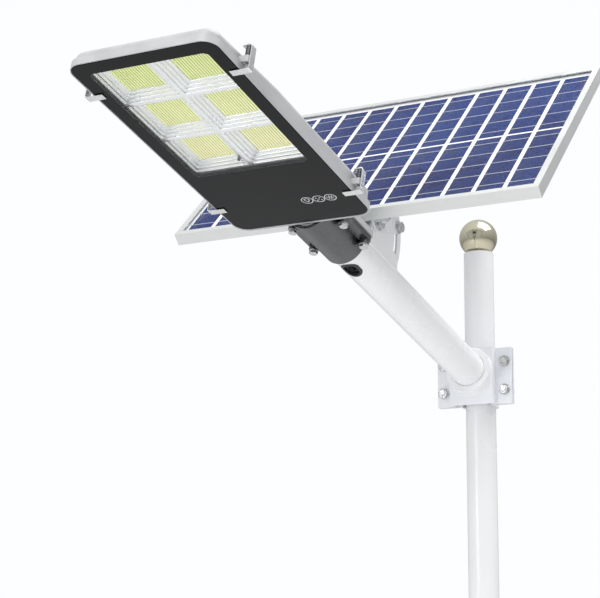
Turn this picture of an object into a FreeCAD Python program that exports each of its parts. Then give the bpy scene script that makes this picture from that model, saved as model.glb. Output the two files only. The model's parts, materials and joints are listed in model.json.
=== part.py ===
import FreeCAD, Part
import math
import os
import Sketcher
from FreeCAD import Placement, Rotation, Vector

# Solar street lamp: the top section of a pole, a sloping arm clamped to it, a lamp head
# on the end of the arm and a solar panel on a tilting bracket behind the lamp head.
# Row frame: millimetres, +Z up, origin at the centre of the pole's lower end,
# lamp head towards -Y.

# ---------------------------------------------------------------- driving dimensions
DIMENSIONS = {
    # pole section and finial
    "pole_dia": 45.0, "pole_wall": 2.5, "pole_len": 1000.0,
    "socket_dia": 41.0, "socket_depth": 120.0,
    "ball_dia": 58.0, "ball_rise": 24.0, "ball_wall": 2.0,
    # pole clamp
    "arm_height": 810.0, "clamp_face": 38.0, "clamp_drop": 6.0, "clamp_height": 84.0,
    "clamp_half": 34.0, "clamp_depth": 13.0, "clamp_plate": 4.0, "clamp_reach": 59.0,
    "clamp_gap": 4.0, "clamp_bolt_x": 48.5, "clamp_bolt_z": 21.0, "swivel_gap": 0.3,
    # arm
    "arm_angle": 14.0, "arm_dia": 50.8, "arm_wall": 1.5, "arm_len": 528.0,
    "collar_dia": 68.0, "collar_end": 10.0,
    "hole_at": 400.0, "hole_width": 20.0, "hole_span": 30.0,
    # tilting bracket
    "pivot_along": 391.2, "pivot_up": 43.7, "fan_reach": 76.0, "fan_plate": 3.0,
    "fan_inside": 20.0, "boss": 11.0, "slot_radius": 62.0, "slot_width": 9.0,
    "slot_low": -10.0, "slot_high": 38.5, "fan_top": 38.0, "fan_heel": -16.0,
    # solar panel, measured from the tilt pivot
    "panel_angle": 43.0, "panel_long": 530.0, "panel_wide": 350.0, "frame_depth": 17.0,
    "panel_low": 22.0, "panel_back": 18.0, "frame_wall": 1.5, "frame_lip": 9.0,
    "frame_flange": 12.0, "glass_thick": 2.8, "cell_pitch": 42.7, "cell_wide": 36.3,
    "cell_long": 157.0, "cell_row_gap": 4.0, "lock_below": 34.0,
    "ear_inside": 23.6, "ear_plate": 3.0, "bar_x": 45.0, "bar_wide": 20.0, "bar_thick": 4.0,
    "ear_boss": 10.0, "flange_heel": 6.0, "flange_toe": 14.0, "ear_bolt_low": 4.0,
    "ear_bolt_high": 64.0, "rail_bolt": 7.6, "sheet_film": 0.3, "lip_thick": 1.5,
    "box_along": 236.0, "box_deep": 18.0, "box_half_x": 35.0, "box_half_y": 27.0,
    "box_skin": 2.5,
    "plug_deep": 14.0, "stud_dia": 10.0, "stud_long": 26.0, "stud_grip": 20.0,
    "chock_thick": 5.0, "chock_inset": 6.0, "grommet_wall": 1.5, "grommet_lip": 2.0,
    "neck_play": 0.35, "hump_clear": 14.0, "hump_corner": 20.0, "hump_round": 13.0,
    "tray_round": 8.0, "neck_inside": 24.0, "wing_thick": 8.0, "neck_rib": 1.5,
    "neck_rib_high": 21.0, "diamond_half": 9.0, "diamond_up": 11.5, "diamond_rise": 7.0,
    "saddle_wing": 6.0, "cavity_wall": 15.0, "space_wall": 8.0, "glass_play": 0.6,
    "reflector_low": -18.4, "reflector_high": -8.0, "sensor_dia": 4.0,
    # lamp head, measured along the arm from the clamp face
    "head_back": 531.0, "head_long": 398.0, "head_half": 95.0, "head_corner": 20.0,
    "head_low": -24.3, "rim_top": -15.0, "tray_top": 7.0, "tray_nose": -3.0, "tray_inset": 4.0,
    "tray_ceiling": -6.0, "hump_top": 36.0, "hump_half": 66.0, "hump_long": 250.0, "wall": 3.0,
    "glass_half": 93.0, "glass_long": 392.0, "glass_corner": 17.0, "glass_face": -24.5,
    "cover_thick": 4.0, "glass_inset": 4.0,
    "gasket_thick": 1.5, "neck_back": 428.0, "neck_dia": 60.0, "saddle_dia": 60.0,
    "saddle_bolt_x": 36.0, "saddle_bolt_back": 442.0, "saddle_bolt_front": 500.0,
    "saddle_bolt_hole": 3.15, "saddle_boss": 6.5, "saddle_drop": 12.0,
    "field_pitch_x": 80.0, "field_pitch_y": 79.6, "field_centre": 790.0,
    "field_open": 73.0, "field_led": 50.0,
    "clip_back": 590.0, "clip_front": 865.0, "clip_x": 100.2, "clip_wide": 9.5,
    "clip_sheet": 1.2, "clip_hook": -26.4, "clip_tab": 4.0, "clip_leg": 4.9, "lug_end": 4.4,
    "lug_low": -16.0, "lug_thick": 8.0,
    # battery and charge controller inside the hump
    "battery_dia": 26.0, "battery_long": 65.0, "battery_pitch": 27.0, "battery_level": 17.0,
    "board_level": 17.0, "board_thick": 1.6,
}

doc = FreeCAD.newDocument("solar_street_lamp")
sheet = doc.addObject("Spreadsheet::Sheet", "Sizes")
for row, (alias, number) in enumerate(DIMENSIONS.items(), start=1):
    sheet.set(f"A{row}", alias)
    sheet.set(f"B{row}", str(number))
    sheet.setAlias(f"B{row}", alias)
doc.recompute()


class Size:
    """A length or angle: its value now and the sheet formula that gives it."""

    def __init__(self, text, value):
        self.text = text
        self.value = value

    def __add__(self, other):
        return Size(f"({self.text} + {text_of(other)})", self.value + value_of(other))

    def __radd__(self, other):
        return Size(f"({text_of(other)} + {self.text})", value_of(other) + self.value)

    def __sub__(self, other):
        return Size(f"({self.text} - {text_of(other)})", self.value - value_of(other))

    def __rsub__(self, other):
        return Size(f"({text_of(other)} - {self.text})", value_of(other) - self.value)

    def __mul__(self, other):
        return Size(f"{self.text} * {text_of(other)}", self.value * value_of(other))

    __rmul__ = __mul__

    def __truediv__(self, other):
        return Size(f"{self.text} / {text_of(other)}", self.value / value_of(other))

    def __neg__(self):
        return Size(f"(0 - {self.text})", -self.value)


def text_of(size):
    return size.text if isinstance(size, Size) else f"({float(size)})"


def value_of(size):
    return size.value if isinstance(size, Size) else float(size)


def cosine(angle):
    return Size(f"cos({text_of(angle)})", math.cos(math.radians(value_of(angle))))


def sine(angle):
    return Size(f"sin({text_of(angle)})", math.sin(math.radians(value_of(angle))))


def cell(alias):
    return Size(f"Sizes.{alias}", float(sheet.get(alias)))


class Cells:
    """Every driving dimension as an attribute."""


d = Cells()
for alias in DIMENSIONS:
    setattr(d, alias, cell(alias))

# ---------------------------------------------------------------- building helpers
NODES = []
AXES = "xyz"


def bind(item, name, size):
    """Set a property and tie it to the sheet when it depends on it."""
    if not isinstance(size, Size):
        if "." not in name:
            setattr(item, name, float(size))
        return
    if "." not in name:
        setattr(item, name, size.value)
    item.setExpression(name, size.text)


def move(item, at, turn=None):
    """Place an object, with each coordinate tied to the sheet when it depends on it."""
    item.Placement = Placement(Vector(*[value_of(c) for c in at]), turn or Rotation())
    for axis, size in zip(AXES, at):
        if isinstance(size, Size):
            item.setExpression(f"Placement.Base.{axis}", size.text)
    return item


ALONG_X = Rotation(Vector(0, 1, 0), 90)
ALONG_MINUS_X = Rotation(Vector(0, 1, 0), -90)
ALONG_MINUS_Y = Rotation(Vector(1, 0, 0), 90)
ALONG_Y = Rotation(Vector(1, 0, 0), -90)
ALONG_MINUS_Z = Rotation(Vector(1, 0, 0), 180)


def cylinder(radius, height, at=(0, 0, 0), turn=None):
    item = doc.addObject("Part::Cylinder", "rod")
    bind(item, "Radius", radius)
    bind(item, "Height", height)
    return move(item, at, turn)


def box(size_x, size_y, size_z, at):
    """A block with its lowest corner at the given point."""
    item = doc.addObject("Part::Box", "block")
    bind(item, "Length", size_x)
    bind(item, "Width", size_y)
    bind(item, "Height", size_z)
    return move(item, at)


def block(size_x, size_y, size_z, at):
    """A block centred on the given point in x and y, standing on it in z."""
    return box(size_x, size_y, size_z, (at[0] - size_x / 2, at[1] - size_y / 2, at[2]))


def sphere(radius, at):
    item = doc.addObject("Part::Sphere", "ball")
    bind(item, "Radius", radius)
    return move(item, at)


def prism(across_flats, height, at, turn=None):
    item = doc.addObject("Part::Prism", "hexagon")
    item.Polygon = 6
    bind(item, "Circumradius", across_flats / math.sqrt(3))
    bind(item, "Height", height)
    return move(item, at, turn)


def fuse(*items):
    item = doc.addObject("Part::MultiFuse", "joined")
    item.Shapes = list(items)
    return item


def cut(base, *tools):
    item = doc.addObject("Part::Cut", "cut_piece")
    item.Base = base
    item.Tool = tools[0] if len(tools) == 1 else fuse(*tools)
    return item


def common(first, second):
    item = doc.addObject("Part::Common", "common_piece")
    item.Base = first
    item.Tool = second
    return item


def group(*items):
    item = doc.addObject("Part::Compound", "pieces")
    item.Links = list(items)
    return item


def tube(outer, inner, height, at=(0, 0, 0), turn=None):
    return cut(cylinder(outer, height, at, turn), cylinder(inner, height, at, turn))


def node(label, item, frame=None):
    """Register a finished sub-part under its name, set in its frame."""
    if not item.Placement.isIdentity():
        item = group(item)
    item.Label = label
    if frame:
        frame(item)
    NODES.append(item)
    return item


def in_arm_frame(item):
    """-Y runs along the arm from the clamp face, +Z points up square to the arm."""
    item.Placement = Placement(Vector(), Rotation(Vector(1, 0, 0), -d.arm_angle.value))
    item.setExpression("Placement.Base.y", (-d.clamp_face).text)
    item.setExpression("Placement.Base.z", d.arm_height.text)
    item.setExpression("Placement.Rotation.Angle", (-d.arm_angle).text)


pivot_y = -d.clamp_face - d.pivot_along * cosine(d.arm_angle) + d.pivot_up * sine(d.arm_angle)
pivot_z = d.arm_height + d.pivot_along * sine(d.arm_angle) + d.pivot_up * cosine(d.arm_angle)


def in_panel_frame(item):
    """Origin on the tilt pivot, +Y up the slope of the panel, +Z out of its glass."""
    item.Placement = Placement(Vector(), Rotation(Vector(1, 0, 0), d.panel_angle.value))
    item.setExpression("Placement.Base.y", pivot_y.text)
    item.setExpression("Placement.Base.z", pivot_z.text)
    item.setExpression("Placement.Rotation.Angle", d.panel_angle.text)


# ---------------------------------------------------------------- sketch helpers
def new_body(name):
    return doc.addObject("PartDesign::Body", name)


def origin_plane(body, role):
    return next(item for item in body.Origin.OriginFeatures if item.Role == role)


def sketch_on(body, role, level, loops=(), circles=()):
    """A fully constrained sketch: loops of (x, y) or (x, y, (cx, cy), turn), and circles."""
    sketch = body.newObject("Sketcher::SketchObject", "outline")
    sketch.AttachmentSupport = [(origin_plane(body, role), "")]
    sketch.MapMode = "FlatFace"
    sketch.AttachmentOffset = Placement(Vector(0, 0, value_of(level)), Rotation())
    if isinstance(level, Size):
        sketch.setExpression("AttachmentOffset.Base.z", level.text)
    for loop in loops:
        draw_loop(sketch, loop)
    for x, y, radius in circles:
        draw_circle(sketch, x, y, radius)
    return sketch


def pin_down(sketch, kind, place, size):
    """Tie one coordinate of a sketch point to its size."""
    number = sketch.addConstraint(Sketcher.Constraint(kind, -1, 1, *place, value_of(size)))
    if isinstance(size, Size):
        sketch.setExpression(f"Constraints[{number}]", size.text)


def draw_loop(sketch, loop):
    """Lines and arcs through the points; an arc leaves the point that carries its centre."""
    ends = []
    for this, following in zip(loop, loop[1:] + loop[:1]):
        start = Vector(value_of(this[0]), value_of(this[1]), 0)
        finish = Vector(value_of(following[0]), value_of(following[1]), 0)
        if len(this) == 2:
            ends.append((sketch.addGeometry(Part.LineSegment(start, finish)), 1, 2))
            continue
        centre = Vector(value_of(this[2][0]), value_of(this[2][1]), 0)
        left = this[3] == "left"
        first, last = (start, finish) if left else (finish, start)
        angles = [math.atan2(p.y - centre.y, p.x - centre.x) for p in (first, last)]
        if angles[1] <= angles[0]:
            angles[1] += 2 * math.pi
        circle = Part.Circle(centre, Vector(0, 0, 1), (start - centre).Length)
        arc = sketch.addGeometry(Part.ArcOfCircle(circle, *angles))
        ends.append((arc, 1, 2) if left else (arc, 2, 1))
        across = abs(finish.x - start.x) > abs(finish.y - start.y)
        kind = "DistanceY" if across else "DistanceX"
        pin_down(sketch, kind, (arc, 3), this[2][1] if across else this[2][0])
    for (edge, begin, _), (before, _, stop), point in zip(ends, ends[-1:] + ends[:-1], loop):
        sketch.addConstraint(Sketcher.Constraint("Coincident", before, stop, edge, begin))
        pin_down(sketch, "DistanceX", (edge, begin), point[0])
        pin_down(sketch, "DistanceY", (edge, begin), point[1])


def draw_circle(sketch, x, y, radius):
    circle = Part.Circle(Vector(value_of(x), value_of(y), 0), Vector(0, 0, 1), value_of(radius))
    ring = sketch.addGeometry(circle)
    pin_down(sketch, "DistanceX", (ring, 3), x)
    pin_down(sketch, "DistanceY", (ring, 3), y)
    number = sketch.addConstraint(Sketcher.Constraint("Radius", ring, value_of(radius)))
    if isinstance(radius, Size):
        sketch.setExpression(f"Constraints[{number}]", radius.text)


def rounded(x0, y0, x1, y1, radius):
    """A rectangle with rounded corners, as a loop of points."""
    return [
        (x0 + radius, y0), (x1 - radius, y0, (x1 - radius, y0 + radius), "left"),
        (x1, y0 + radius), (x1, y1 - radius, (x1 - radius, y1 - radius), "left"),
        (x1 - radius, y1), (x0 + radius, y1, (x0 + radius, y1 - radius), "left"),
        (x0, y1 - radius), (x0, y0 + radius, (x0 + radius, y0 + radius), "left"),
    ]


def rectangle(x0, y0, x1, y1):
    return [(x0, y0), (x1, y0), (x1, y1), (x0, y1)]


def pad(body, sketch, length, reverse=False, middle=False, taper=0):
    feature = body.newObject("PartDesign::Pad", "pad")
    feature.Profile = sketch
    bind(feature, "Length", length)
    feature.Reversed = reverse
    feature.Midplane = middle
    feature.TaperAngle = taper
    body.Tip = feature
    return feature


def pocket(body, sketch, length=None, reverse=False, taper=0):
    """Cut a sketch out of the body; with no length it goes right through both ways."""
    doc.recompute()
    before = body.Shape.Volume
    feature = body.newObject("PartDesign::Pocket", "pocket")
    feature.Profile = sketch
    if length is None:
        feature.Type = 1
        feature.Midplane = True
    else:
        bind(feature, "Length", length)
        feature.Reversed = reverse
        feature.TaperAngle = taper
    body.Tip = feature
    doc.recompute()
    if body.Shape.Volume > before - 0.1:
        raise ValueError(f"pocket cuts nothing in {body.Name}")
    return feature


def fillet(body, radius, wanted):
    """Round the edges of the tip that the test picks."""
    doc.recompute()
    edges = [f"Edge{i}" for i, edge in enumerate(body.Shape.Edges, start=1) if wanted(edge)]
    last = body.Tip
    feature = body.newObject("PartDesign::Fillet", "rounding")
    feature.Base = (last, edges)
    feature.Radius = radius
    body.Tip = feature
    return feature


# ---------------------------------------------------------------- fasteners
# sizes of the two fasteners and the holes that they pass through
M8 = {"thread": 8.0, "flats": 13.0, "head": 5.3, "nut": 6.5, "washer": 1.6}
M6 = {"thread": 6.0, "flats": 10.0, "head": 4.0, "nut": 4.0, "washer": 1.2}
M8_LOOSE_HOLE, M8_PIVOT_HOLE, M8_LOCK_HOLE, M6_HOLE = 4.5, 4.1, 4.3, 3.2
BOLT_END = 13


def hex_bolt(size, length, at, turn):
    """A bolt whose head stands on the point and whose shank runs from it the other way."""
    shank = cylinder(size["thread"] / 2, length, (0, 0, -length))
    return move(fuse(prism(size["flats"], size["head"], (0, 0, 0)), shank), at, turn)


def hex_nut(size, at, turn):
    return cut(prism(size["flats"], size["nut"], at, turn),
               cylinder(size["thread"] / 2 + 0.1, size["nut"], at, turn))


def washer(size, outside, at, turn):
    return tube(outside / 2, size["thread"] / 2 + 0.2, size["washer"], at, turn)


def cross_bolt(label, y, z, outside, place):
    """A bolt across the bracket with a washer on each side and a nut on its left."""
    seat = outside + M8["washer"]
    bolt = hex_bolt(M8, outside * 2 + BOLT_END, (seat, y, z), ALONG_X)
    node(f"{label}_bolt", bolt, place)
    node(f"{label}_nut", hex_nut(M8, (-seat, y, z), ALONG_MINUS_X), place)
    pair = [washer(M8, 18, (outside, y, z), ALONG_X),
            washer(M8, 18, (-outside, y, z), ALONG_MINUS_X)]
    node(f"{label}_washers", group(*pair), place)


# ---------------------------------------------------------------- pole and finial
def make_pole():
    radius = d.pole_dia / 2
    bore = cylinder(radius - d.pole_wall, d.pole_len)
    socket = cylinder(d.socket_dia / 2, d.socket_depth)
    node("pole_tube", cut(cylinder(radius, d.pole_len), bore, socket))
    base = (0, 0, d.pole_len - d.plug_deep)
    plug = cylinder(radius - d.pole_wall - 0.2, d.plug_deep, base)
    thread = cylinder(d.stud_dia / 2 + 0.1, d.plug_deep, base)
    node("pole_top_plug", cut(plug, thread))
    stud = cylinder(d.stud_dia / 2, d.stud_long, (0, 0, d.pole_len - d.stud_grip))
    node("finial_stud", stud)
    centre = d.pole_len + d.ball_rise
    wide, deep, floor = 80, 60, 3
    below = block(wide, wide, deep, (0, 0, d.pole_len - deep))
    hole = cylinder(d.stud_dia / 2 + 0.2, 10, (0, 0, d.pole_len - 1))
    ball = cut(sphere(d.ball_dia / 2, (0, 0, centre)), below, hole)
    hollow = cut(sphere(d.ball_dia / 2 - d.ball_wall, (0, 0, centre)),
                 block(wide, wide, deep, (0, 0, d.pole_len - deep + floor)))
    node("finial_ball", cut(ball, hollow))


# ---------------------------------------------------------------- clamp round the pole
def clamp_middle():
    return d.arm_height - d.clamp_drop


def clamp_holes(body):
    """Four bolt holes through both ears."""
    holes = [(sx * d.clamp_bolt_x, clamp_middle() + sz * d.clamp_bolt_z, M8_LOOSE_HOLE)
             for sx in (-1, 1) for sz in (-1, 1)]
    pocket(body, sketch_on(body, "XZ_Plane", 0, circles=holes))


def make_clamp_front():
    """A hat-shaped plate: flat face for the arm, side walls and two ears."""
    face, ear = -d.clamp_face, -d.clamp_face + d.clamp_depth
    wide, plate, reach = d.clamp_half, d.clamp_plate, d.clamp_reach
    body = new_body("front_plate")
    hat = [(-reach, ear), (-wide, ear), (-wide, face), (wide, face), (wide, ear),
           (reach, ear), (reach, ear + plate), (wide - plate, ear + plate),
           (wide - plate, face + plate), (plate - wide, face + plate),
           (plate - wide, ear + plate), (-reach, ear + plate)]
    bottom = clamp_middle() - d.clamp_height / 2
    pad(body, sketch_on(body, "XY_Plane", bottom, [hat]), d.clamp_height)
    clamp_holes(body)
    node("clamp_front_plate", body)


def ear_back():
    """The plane where the front plate's ears end, in y."""
    return -d.clamp_face + d.clamp_depth + d.clamp_plate


def make_clamp_rear():
    """A strap round the back of the pole with two flat ears."""
    inside = d.pole_dia / 2 + d.swivel_gap
    outside = inside + d.clamp_plate
    front = ear_back() + d.clamp_gap
    back = front + d.clamp_plate
    body = new_body("rear_strap")
    strap = [(-d.clamp_reach, front), (-inside, front), (-inside, 0, (0, 0), "right"),
             (0, inside, (0, 0), "right"), (inside, 0), (inside, front),
             (d.clamp_reach, front), (d.clamp_reach, back), (outside, back),
             (outside, 0, (0, 0), "left"), (0, outside, (0, 0), "left"), (-outside, 0),
             (-outside, back), (-d.clamp_reach, back)]
    bottom = clamp_middle() - d.clamp_height / 2
    pad(body, sketch_on(body, "XY_Plane", bottom, [strap]), d.clamp_height)
    clamp_holes(body)
    node("clamp_rear_strap", body)


def make_clamp_chocks():
    """Two notched plates inside the hat that bear on the pole."""
    chocks = []
    width = d.clamp_half * 2 - d.clamp_plate * 2
    depth = d.clamp_depth + d.clamp_plate / 2
    notch = d.pole_dia / 2 + d.swivel_gap
    lower = clamp_middle() - d.clamp_height / 2 + d.chock_inset
    upper = clamp_middle() + d.clamp_height / 2 - d.chock_inset - d.chock_thick
    for level in (lower, upper):
        plate = box(width, depth, d.chock_thick, (-width / 2, -d.clamp_face + d.clamp_plate, level))
        chocks.append(cut(plate, cylinder(notch, d.chock_thick, (0, 0, level))))
    node("clamp_chocks", group(*chocks))


def make_clamp_fasteners():
    front = -d.clamp_face + d.clamp_depth
    back = ear_back() + d.clamp_gap + d.clamp_plate
    bolts, nuts, washers = [], [], []
    for side in (-1, 1):
        for step in (-1, 1):
            x, z = side * d.clamp_bolt_x, clamp_middle() + step * d.clamp_bolt_z
            bolts.append(hex_bolt(M8, 32, (x, front - M8["washer"], z), ALONG_MINUS_Y))
            nuts.append(hex_nut(M8, (x, back + M8["washer"], z), ALONG_Y))
            washers.append(washer(M8, 17, (x, front, z), ALONG_MINUS_Y))
            washers.append(washer(M8, 17, (x, back, z), ALONG_Y))
    node("clamp_bolts", group(*bolts))
    node("clamp_nuts", group(*nuts))
    node("clamp_washers", group(*washers))


# ---------------------------------------------------------------- arm
def in_front_of_clamp():
    """A block that fills the space ahead of the clamp face, in the arm frame."""
    item = doc.addObject("Part::Box", "front_space")
    item.Length, item.Width, item.Height = 400, 800, 400
    item.Placement = Placement(Vector(0, 0, 0), Rotation(Vector(1, 0, 0), d.arm_angle.value))
    item.setExpression("Placement.Rotation.Angle", d.arm_angle.text)
    item.Placement.Base = item.Placement.Rotation.multVec(Vector(-200, -800, -200))
    return item


def along_arm(radius, start, finish):
    """A rod on the arm's axis between two distances from the clamp face."""
    return cylinder(radius, finish - start, (0, -start, 0), ALONG_MINUS_Y)


def oval_prism(width, span, height, at):
    """An upright block with half-round ends, drawn out along the arm."""
    reach = (span - width) / 2
    return fuse(block(width, span - width, height, at),
                cylinder(width / 2, height, (at[0], at[1] - reach, at[2])),
                cylinder(width / 2, height, (at[0], at[1] + reach, at[2])))


def make_arm():
    radius = d.arm_dia / 2
    shell = cut(along_arm(radius, -20, d.arm_len),
                along_arm(radius - d.arm_wall, -30, d.arm_len + 1))
    under = (0, -d.hole_at, -radius - 4)
    opening = oval_prism(d.hole_width, d.hole_span, 16, under)
    node("arm_tube", cut(common(shell, in_front_of_clamp()), opening), in_arm_frame)
    sleeve = cut(along_arm(d.collar_dia / 2, -20, d.collar_end),
                 along_arm(radius + 0.4, -30, d.collar_end + 1))
    node("arm_collar", common(sleeve, in_front_of_clamp()), in_arm_frame)
    wall, lip, tall = d.grommet_wall * 2, d.grommet_lip * 2, 18
    below = (0, -d.hole_at, -radius - 5)
    liner = cut(oval_prism(d.hole_width - 0.2, d.hole_span - 0.2, 16, under),
                oval_prism(d.hole_width - wall, d.hole_span - wall, tall, below))
    skin = cut(along_arm(radius + 1.2, d.hole_at - 40, d.hole_at + 40),
               along_arm(radius - d.arm_wall - 1, d.hole_at - 41, d.hole_at + 41))
    flange = cut(oval_prism(d.hole_width + lip, d.hole_span + lip, 16, under),
                 oval_prism(d.hole_width - wall, d.hole_span - wall, tall, below))
    ring = cut(along_arm(radius + 1.2, d.hole_at - 40, d.hole_at + 40),
               along_arm(radius + 0.1, d.hole_at - 41, d.hole_at + 41))
    node("cable_grommet", fuse(common(liner, skin), common(flange, ring)), in_arm_frame)


# ---------------------------------------------------------------- tilting bracket
def polar(angle, radius):
    """A point round the tilt pivot in the arm frame; 0 points back along the arm."""
    return (-d.pivot_along + radius * cosine(angle), d.pivot_up + radius * sine(angle))


def make_fan_plates():
    """Two upright plates welded to the arm, each with a pivot hole and a curved slot."""
    pivot = (-d.pivot_along, d.pivot_up)
    tangent = d.fan_top + 90
    corner_r = Size(f"sqrt({text_of(d.fan_reach * d.fan_reach + d.boss * d.boss)})",
                    math.hypot(d.fan_reach.value, d.boss.value))
    top_x = pivot[0] + d.fan_reach * cosine(d.fan_top) + d.boss * cosine(tangent)
    top_y = pivot[1] + d.fan_reach * sine(d.fan_top) + d.boss * sine(tangent)
    heel_x = pivot[0] + corner_r * cosine(d.fan_heel)
    heel_y = pivot[1] + corner_r * sine(d.fan_heel)
    front = pivot[0] - d.boss
    foot = 6.0
    fan = [(front, foot), (heel_x, foot), (heel_x, heel_y, pivot, "left"), (top_x, top_y),
           (pivot[0] + d.boss * cosine(tangent), pivot[1] + d.boss * sine(tangent), pivot, "left"),
           (front, pivot[1])]
    half = d.slot_width / 2
    slot = [polar(d.slot_low, d.slot_radius - half),
            (*polar(d.slot_low, d.slot_radius + half), pivot, "left"),
            polar(d.slot_high, d.slot_radius + half),
            (*polar(d.slot_high, d.slot_radius - half), pivot, "right")]
    for label, level in (("bracket_plate_left", -d.fan_inside - d.fan_plate),
                         ("bracket_plate_right", d.fan_inside)):
        body = new_body("fan")
        pad(body, sketch_on(body, "YZ_Plane", level, [fan], [(*pivot, M8_PIVOT_HOLE)]), d.fan_plate)
        pocket(body, sketch_on(body, "YZ_Plane", 0, [slot]))
        node(label, cut(body, along_arm(d.arm_dia / 2, 250, 450)), in_arm_frame)


def make_pivot():
    """The tilt pivot: a bolt through both fan plates and both panel ears."""
    y, z = -d.pivot_along, d.pivot_up
    play = 0.4
    cross_bolt("pivot", y, z, d.ear_inside + d.ear_plate + play, in_arm_frame)
    spacer = tube(7, M8_PIVOT_HOLE, d.fan_inside * 2, (-d.fan_inside, y, z), ALONG_X)
    node("pivot_spacer", spacer, in_arm_frame)


def lock_place():
    """The lock bolt's y and z in the panel frame."""
    return d.slot_radius * cosine(d.lock_below), -(d.slot_radius * sine(d.lock_below))


def make_hangers():
    """Two angle brackets under the panel: an ear on the pivot and a flange on a flat bar."""
    under = d.panel_back - d.bar_thick
    inner = under - d.ear_plate
    lock_y, lock_z = lock_place()
    boss = d.ear_boss
    toe = lock_y + boss + d.flange_toe
    ear = [(-boss, 0, (0, 0), "left"), (0, -boss), (lock_y, lock_z - boss, (lock_y, lock_z), "left"),
           (lock_y + boss, lock_z), (toe, under), (-boss, under)]
    for label, side in (("panel_hanger_left", -1), ("panel_hanger_right", 1)):
        body = new_body("hanger")
        level = d.ear_inside if side > 0 else -d.ear_inside - d.ear_plate
        pad(body, sketch_on(body, "YZ_Plane", level, [ear],
                            [(0, 0, M8_PIVOT_HOLE), (lock_y, lock_z, M8_LOCK_HOLE)]), d.ear_plate)
        near, far = side * d.ear_inside, side * (d.bar_x + 12)
        low, high = (near, far) if side > 0 else (far, near)
        flange = rectangle(low, -d.flange_heel, high, toe)
        holes = [(side * d.bar_x, along, M6_HOLE) for along in (d.ear_bolt_low, d.ear_bolt_high)]
        pad(body, sketch_on(body, "XY_Plane", inner, [flange], holes), d.ear_plate)
        node(label, body, in_panel_frame)


def make_lock():
    """The lock bolt: it rides in the curved slots and clamps the tilt."""
    y, z = lock_place()
    cross_bolt("lock", y, z, d.ear_inside + d.ear_plate, in_panel_frame)


# ---------------------------------------------------------------- solar panel
def rail_section(across, up, inward):
    """The frame's section: outer wall, back flange, glass shelf and front lip."""
    wall, depth, lip = d.frame_wall, d.frame_depth, d.frame_depth - d.lip_thick
    shelf = lip - d.glass_thick - 0.7
    section = [(0, 0), (d.frame_flange, 0), (d.frame_flange, wall), (wall, wall),
               (wall, shelf - 1.2), (d.frame_lip - 1, shelf - 1.2), (d.frame_lip - 1, shelf),
               (wall, shelf), (wall, lip), (d.frame_lip, lip),
               (d.frame_lip, depth), (0, depth)]
    points = [(across + inward * q, up + w) for q, w in section]
    return points if inward > 0 else points[::-1]


def make_frame_rail(label, lengthways, edge, inward):
    """One mitred side of the panel frame; its outer face lies on the given edge."""
    body = new_body("rail")
    middle = d.panel_wide / 2 - d.panel_low
    section = rail_section(edge, d.panel_back, inward)
    if lengthways:
        pad(body, sketch_on(body, "YZ_Plane", 0, [section]), d.panel_long, middle=True)
    else:
        pad(body, sketch_on(body, "XZ_Plane", -middle, [section]), d.panel_wide, middle=True)
    end = d.panel_long / 2 if lengthways else d.panel_wide / 2
    over, mitre = 1.0, 16.0
    for sign in (-1, 1):
        tip = (sign * (end + over), edge - inward * over)
        inner = (sign * (end + over), edge + inward * mitre)
        back = (sign * (end - mitre), edge + inward * mitre)
        corners = [tip, inner, back]
        if not lengthways:
            corners = [(across, middle + up) for up, across in corners]
        pocket(body, sketch_on(body, "XY_Plane", 0, [corners]))
    if lengthways:
        places = [(side * d.bar_x, edge + inward * d.rail_bolt, M6_HOLE) for side in (-1, 1)]
        pocket(body, sketch_on(body, "XY_Plane", d.panel_back - 1, circles=places), 4, reverse=True)
    node(label, body, in_panel_frame)


def make_panel_frame():
    make_frame_rail("frame_rail_lower", True, -d.panel_low, 1)
    make_frame_rail("frame_rail_upper", True, d.panel_wide - d.panel_low, -1)
    make_frame_rail("frame_rail_left", False, -d.panel_long / 2, 1)
    make_frame_rail("frame_rail_right", False, d.panel_long / 2, -1)
    keys = []
    low, high = -d.panel_low + 2, d.panel_wide - d.panel_low - 2
    for side in (-1, 1):
        for edge, step in ((low, 1), (high, -1)):
            x = side * (d.panel_long / 2 - 2)
            keys.append(fuse(block(22, 5, 6, (x - side * 11, edge + step * 2.5, d.panel_back + 2)),
                             block(5, 22, 6, (x - side * 2.5, edge + step * 11, d.panel_back + 2))))
    node("frame_corner_keys", group(*keys), in_panel_frame)


def laminate(label, thick, top, margin):
    """One full sheet of the laminate, its upper face at the given height."""
    middle = d.panel_wide / 2 - d.panel_low
    sheet_piece = block(d.panel_long - margin * 2, d.panel_wide - margin * 2, thick,
                        (0, middle, top - thick))
    node(label, sheet_piece, in_panel_frame)


def make_laminate():
    under_lip = d.panel_back + d.frame_depth - d.lip_thick - 0.1
    laminate("panel_glass", d.glass_thick, under_lip, 2)
    laminate("panel_backsheet", d.sheet_film, under_lip - d.glass_thick - d.sheet_film, 2)
    middle = d.panel_wide / 2 - d.panel_low
    level = under_lip - d.glass_thick - d.sheet_film
    cells = []
    for row in (-0.5, 0.5):
        for column in range(12):
            x = d.cell_pitch * (column - 5.5)
            y = middle + (d.cell_long + d.cell_row_gap) * row
            cells.append(block(d.cell_wide, d.cell_long, d.sheet_film, (x, y, level)))
    node("solar_cells", group(*cells), in_panel_frame)


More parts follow.
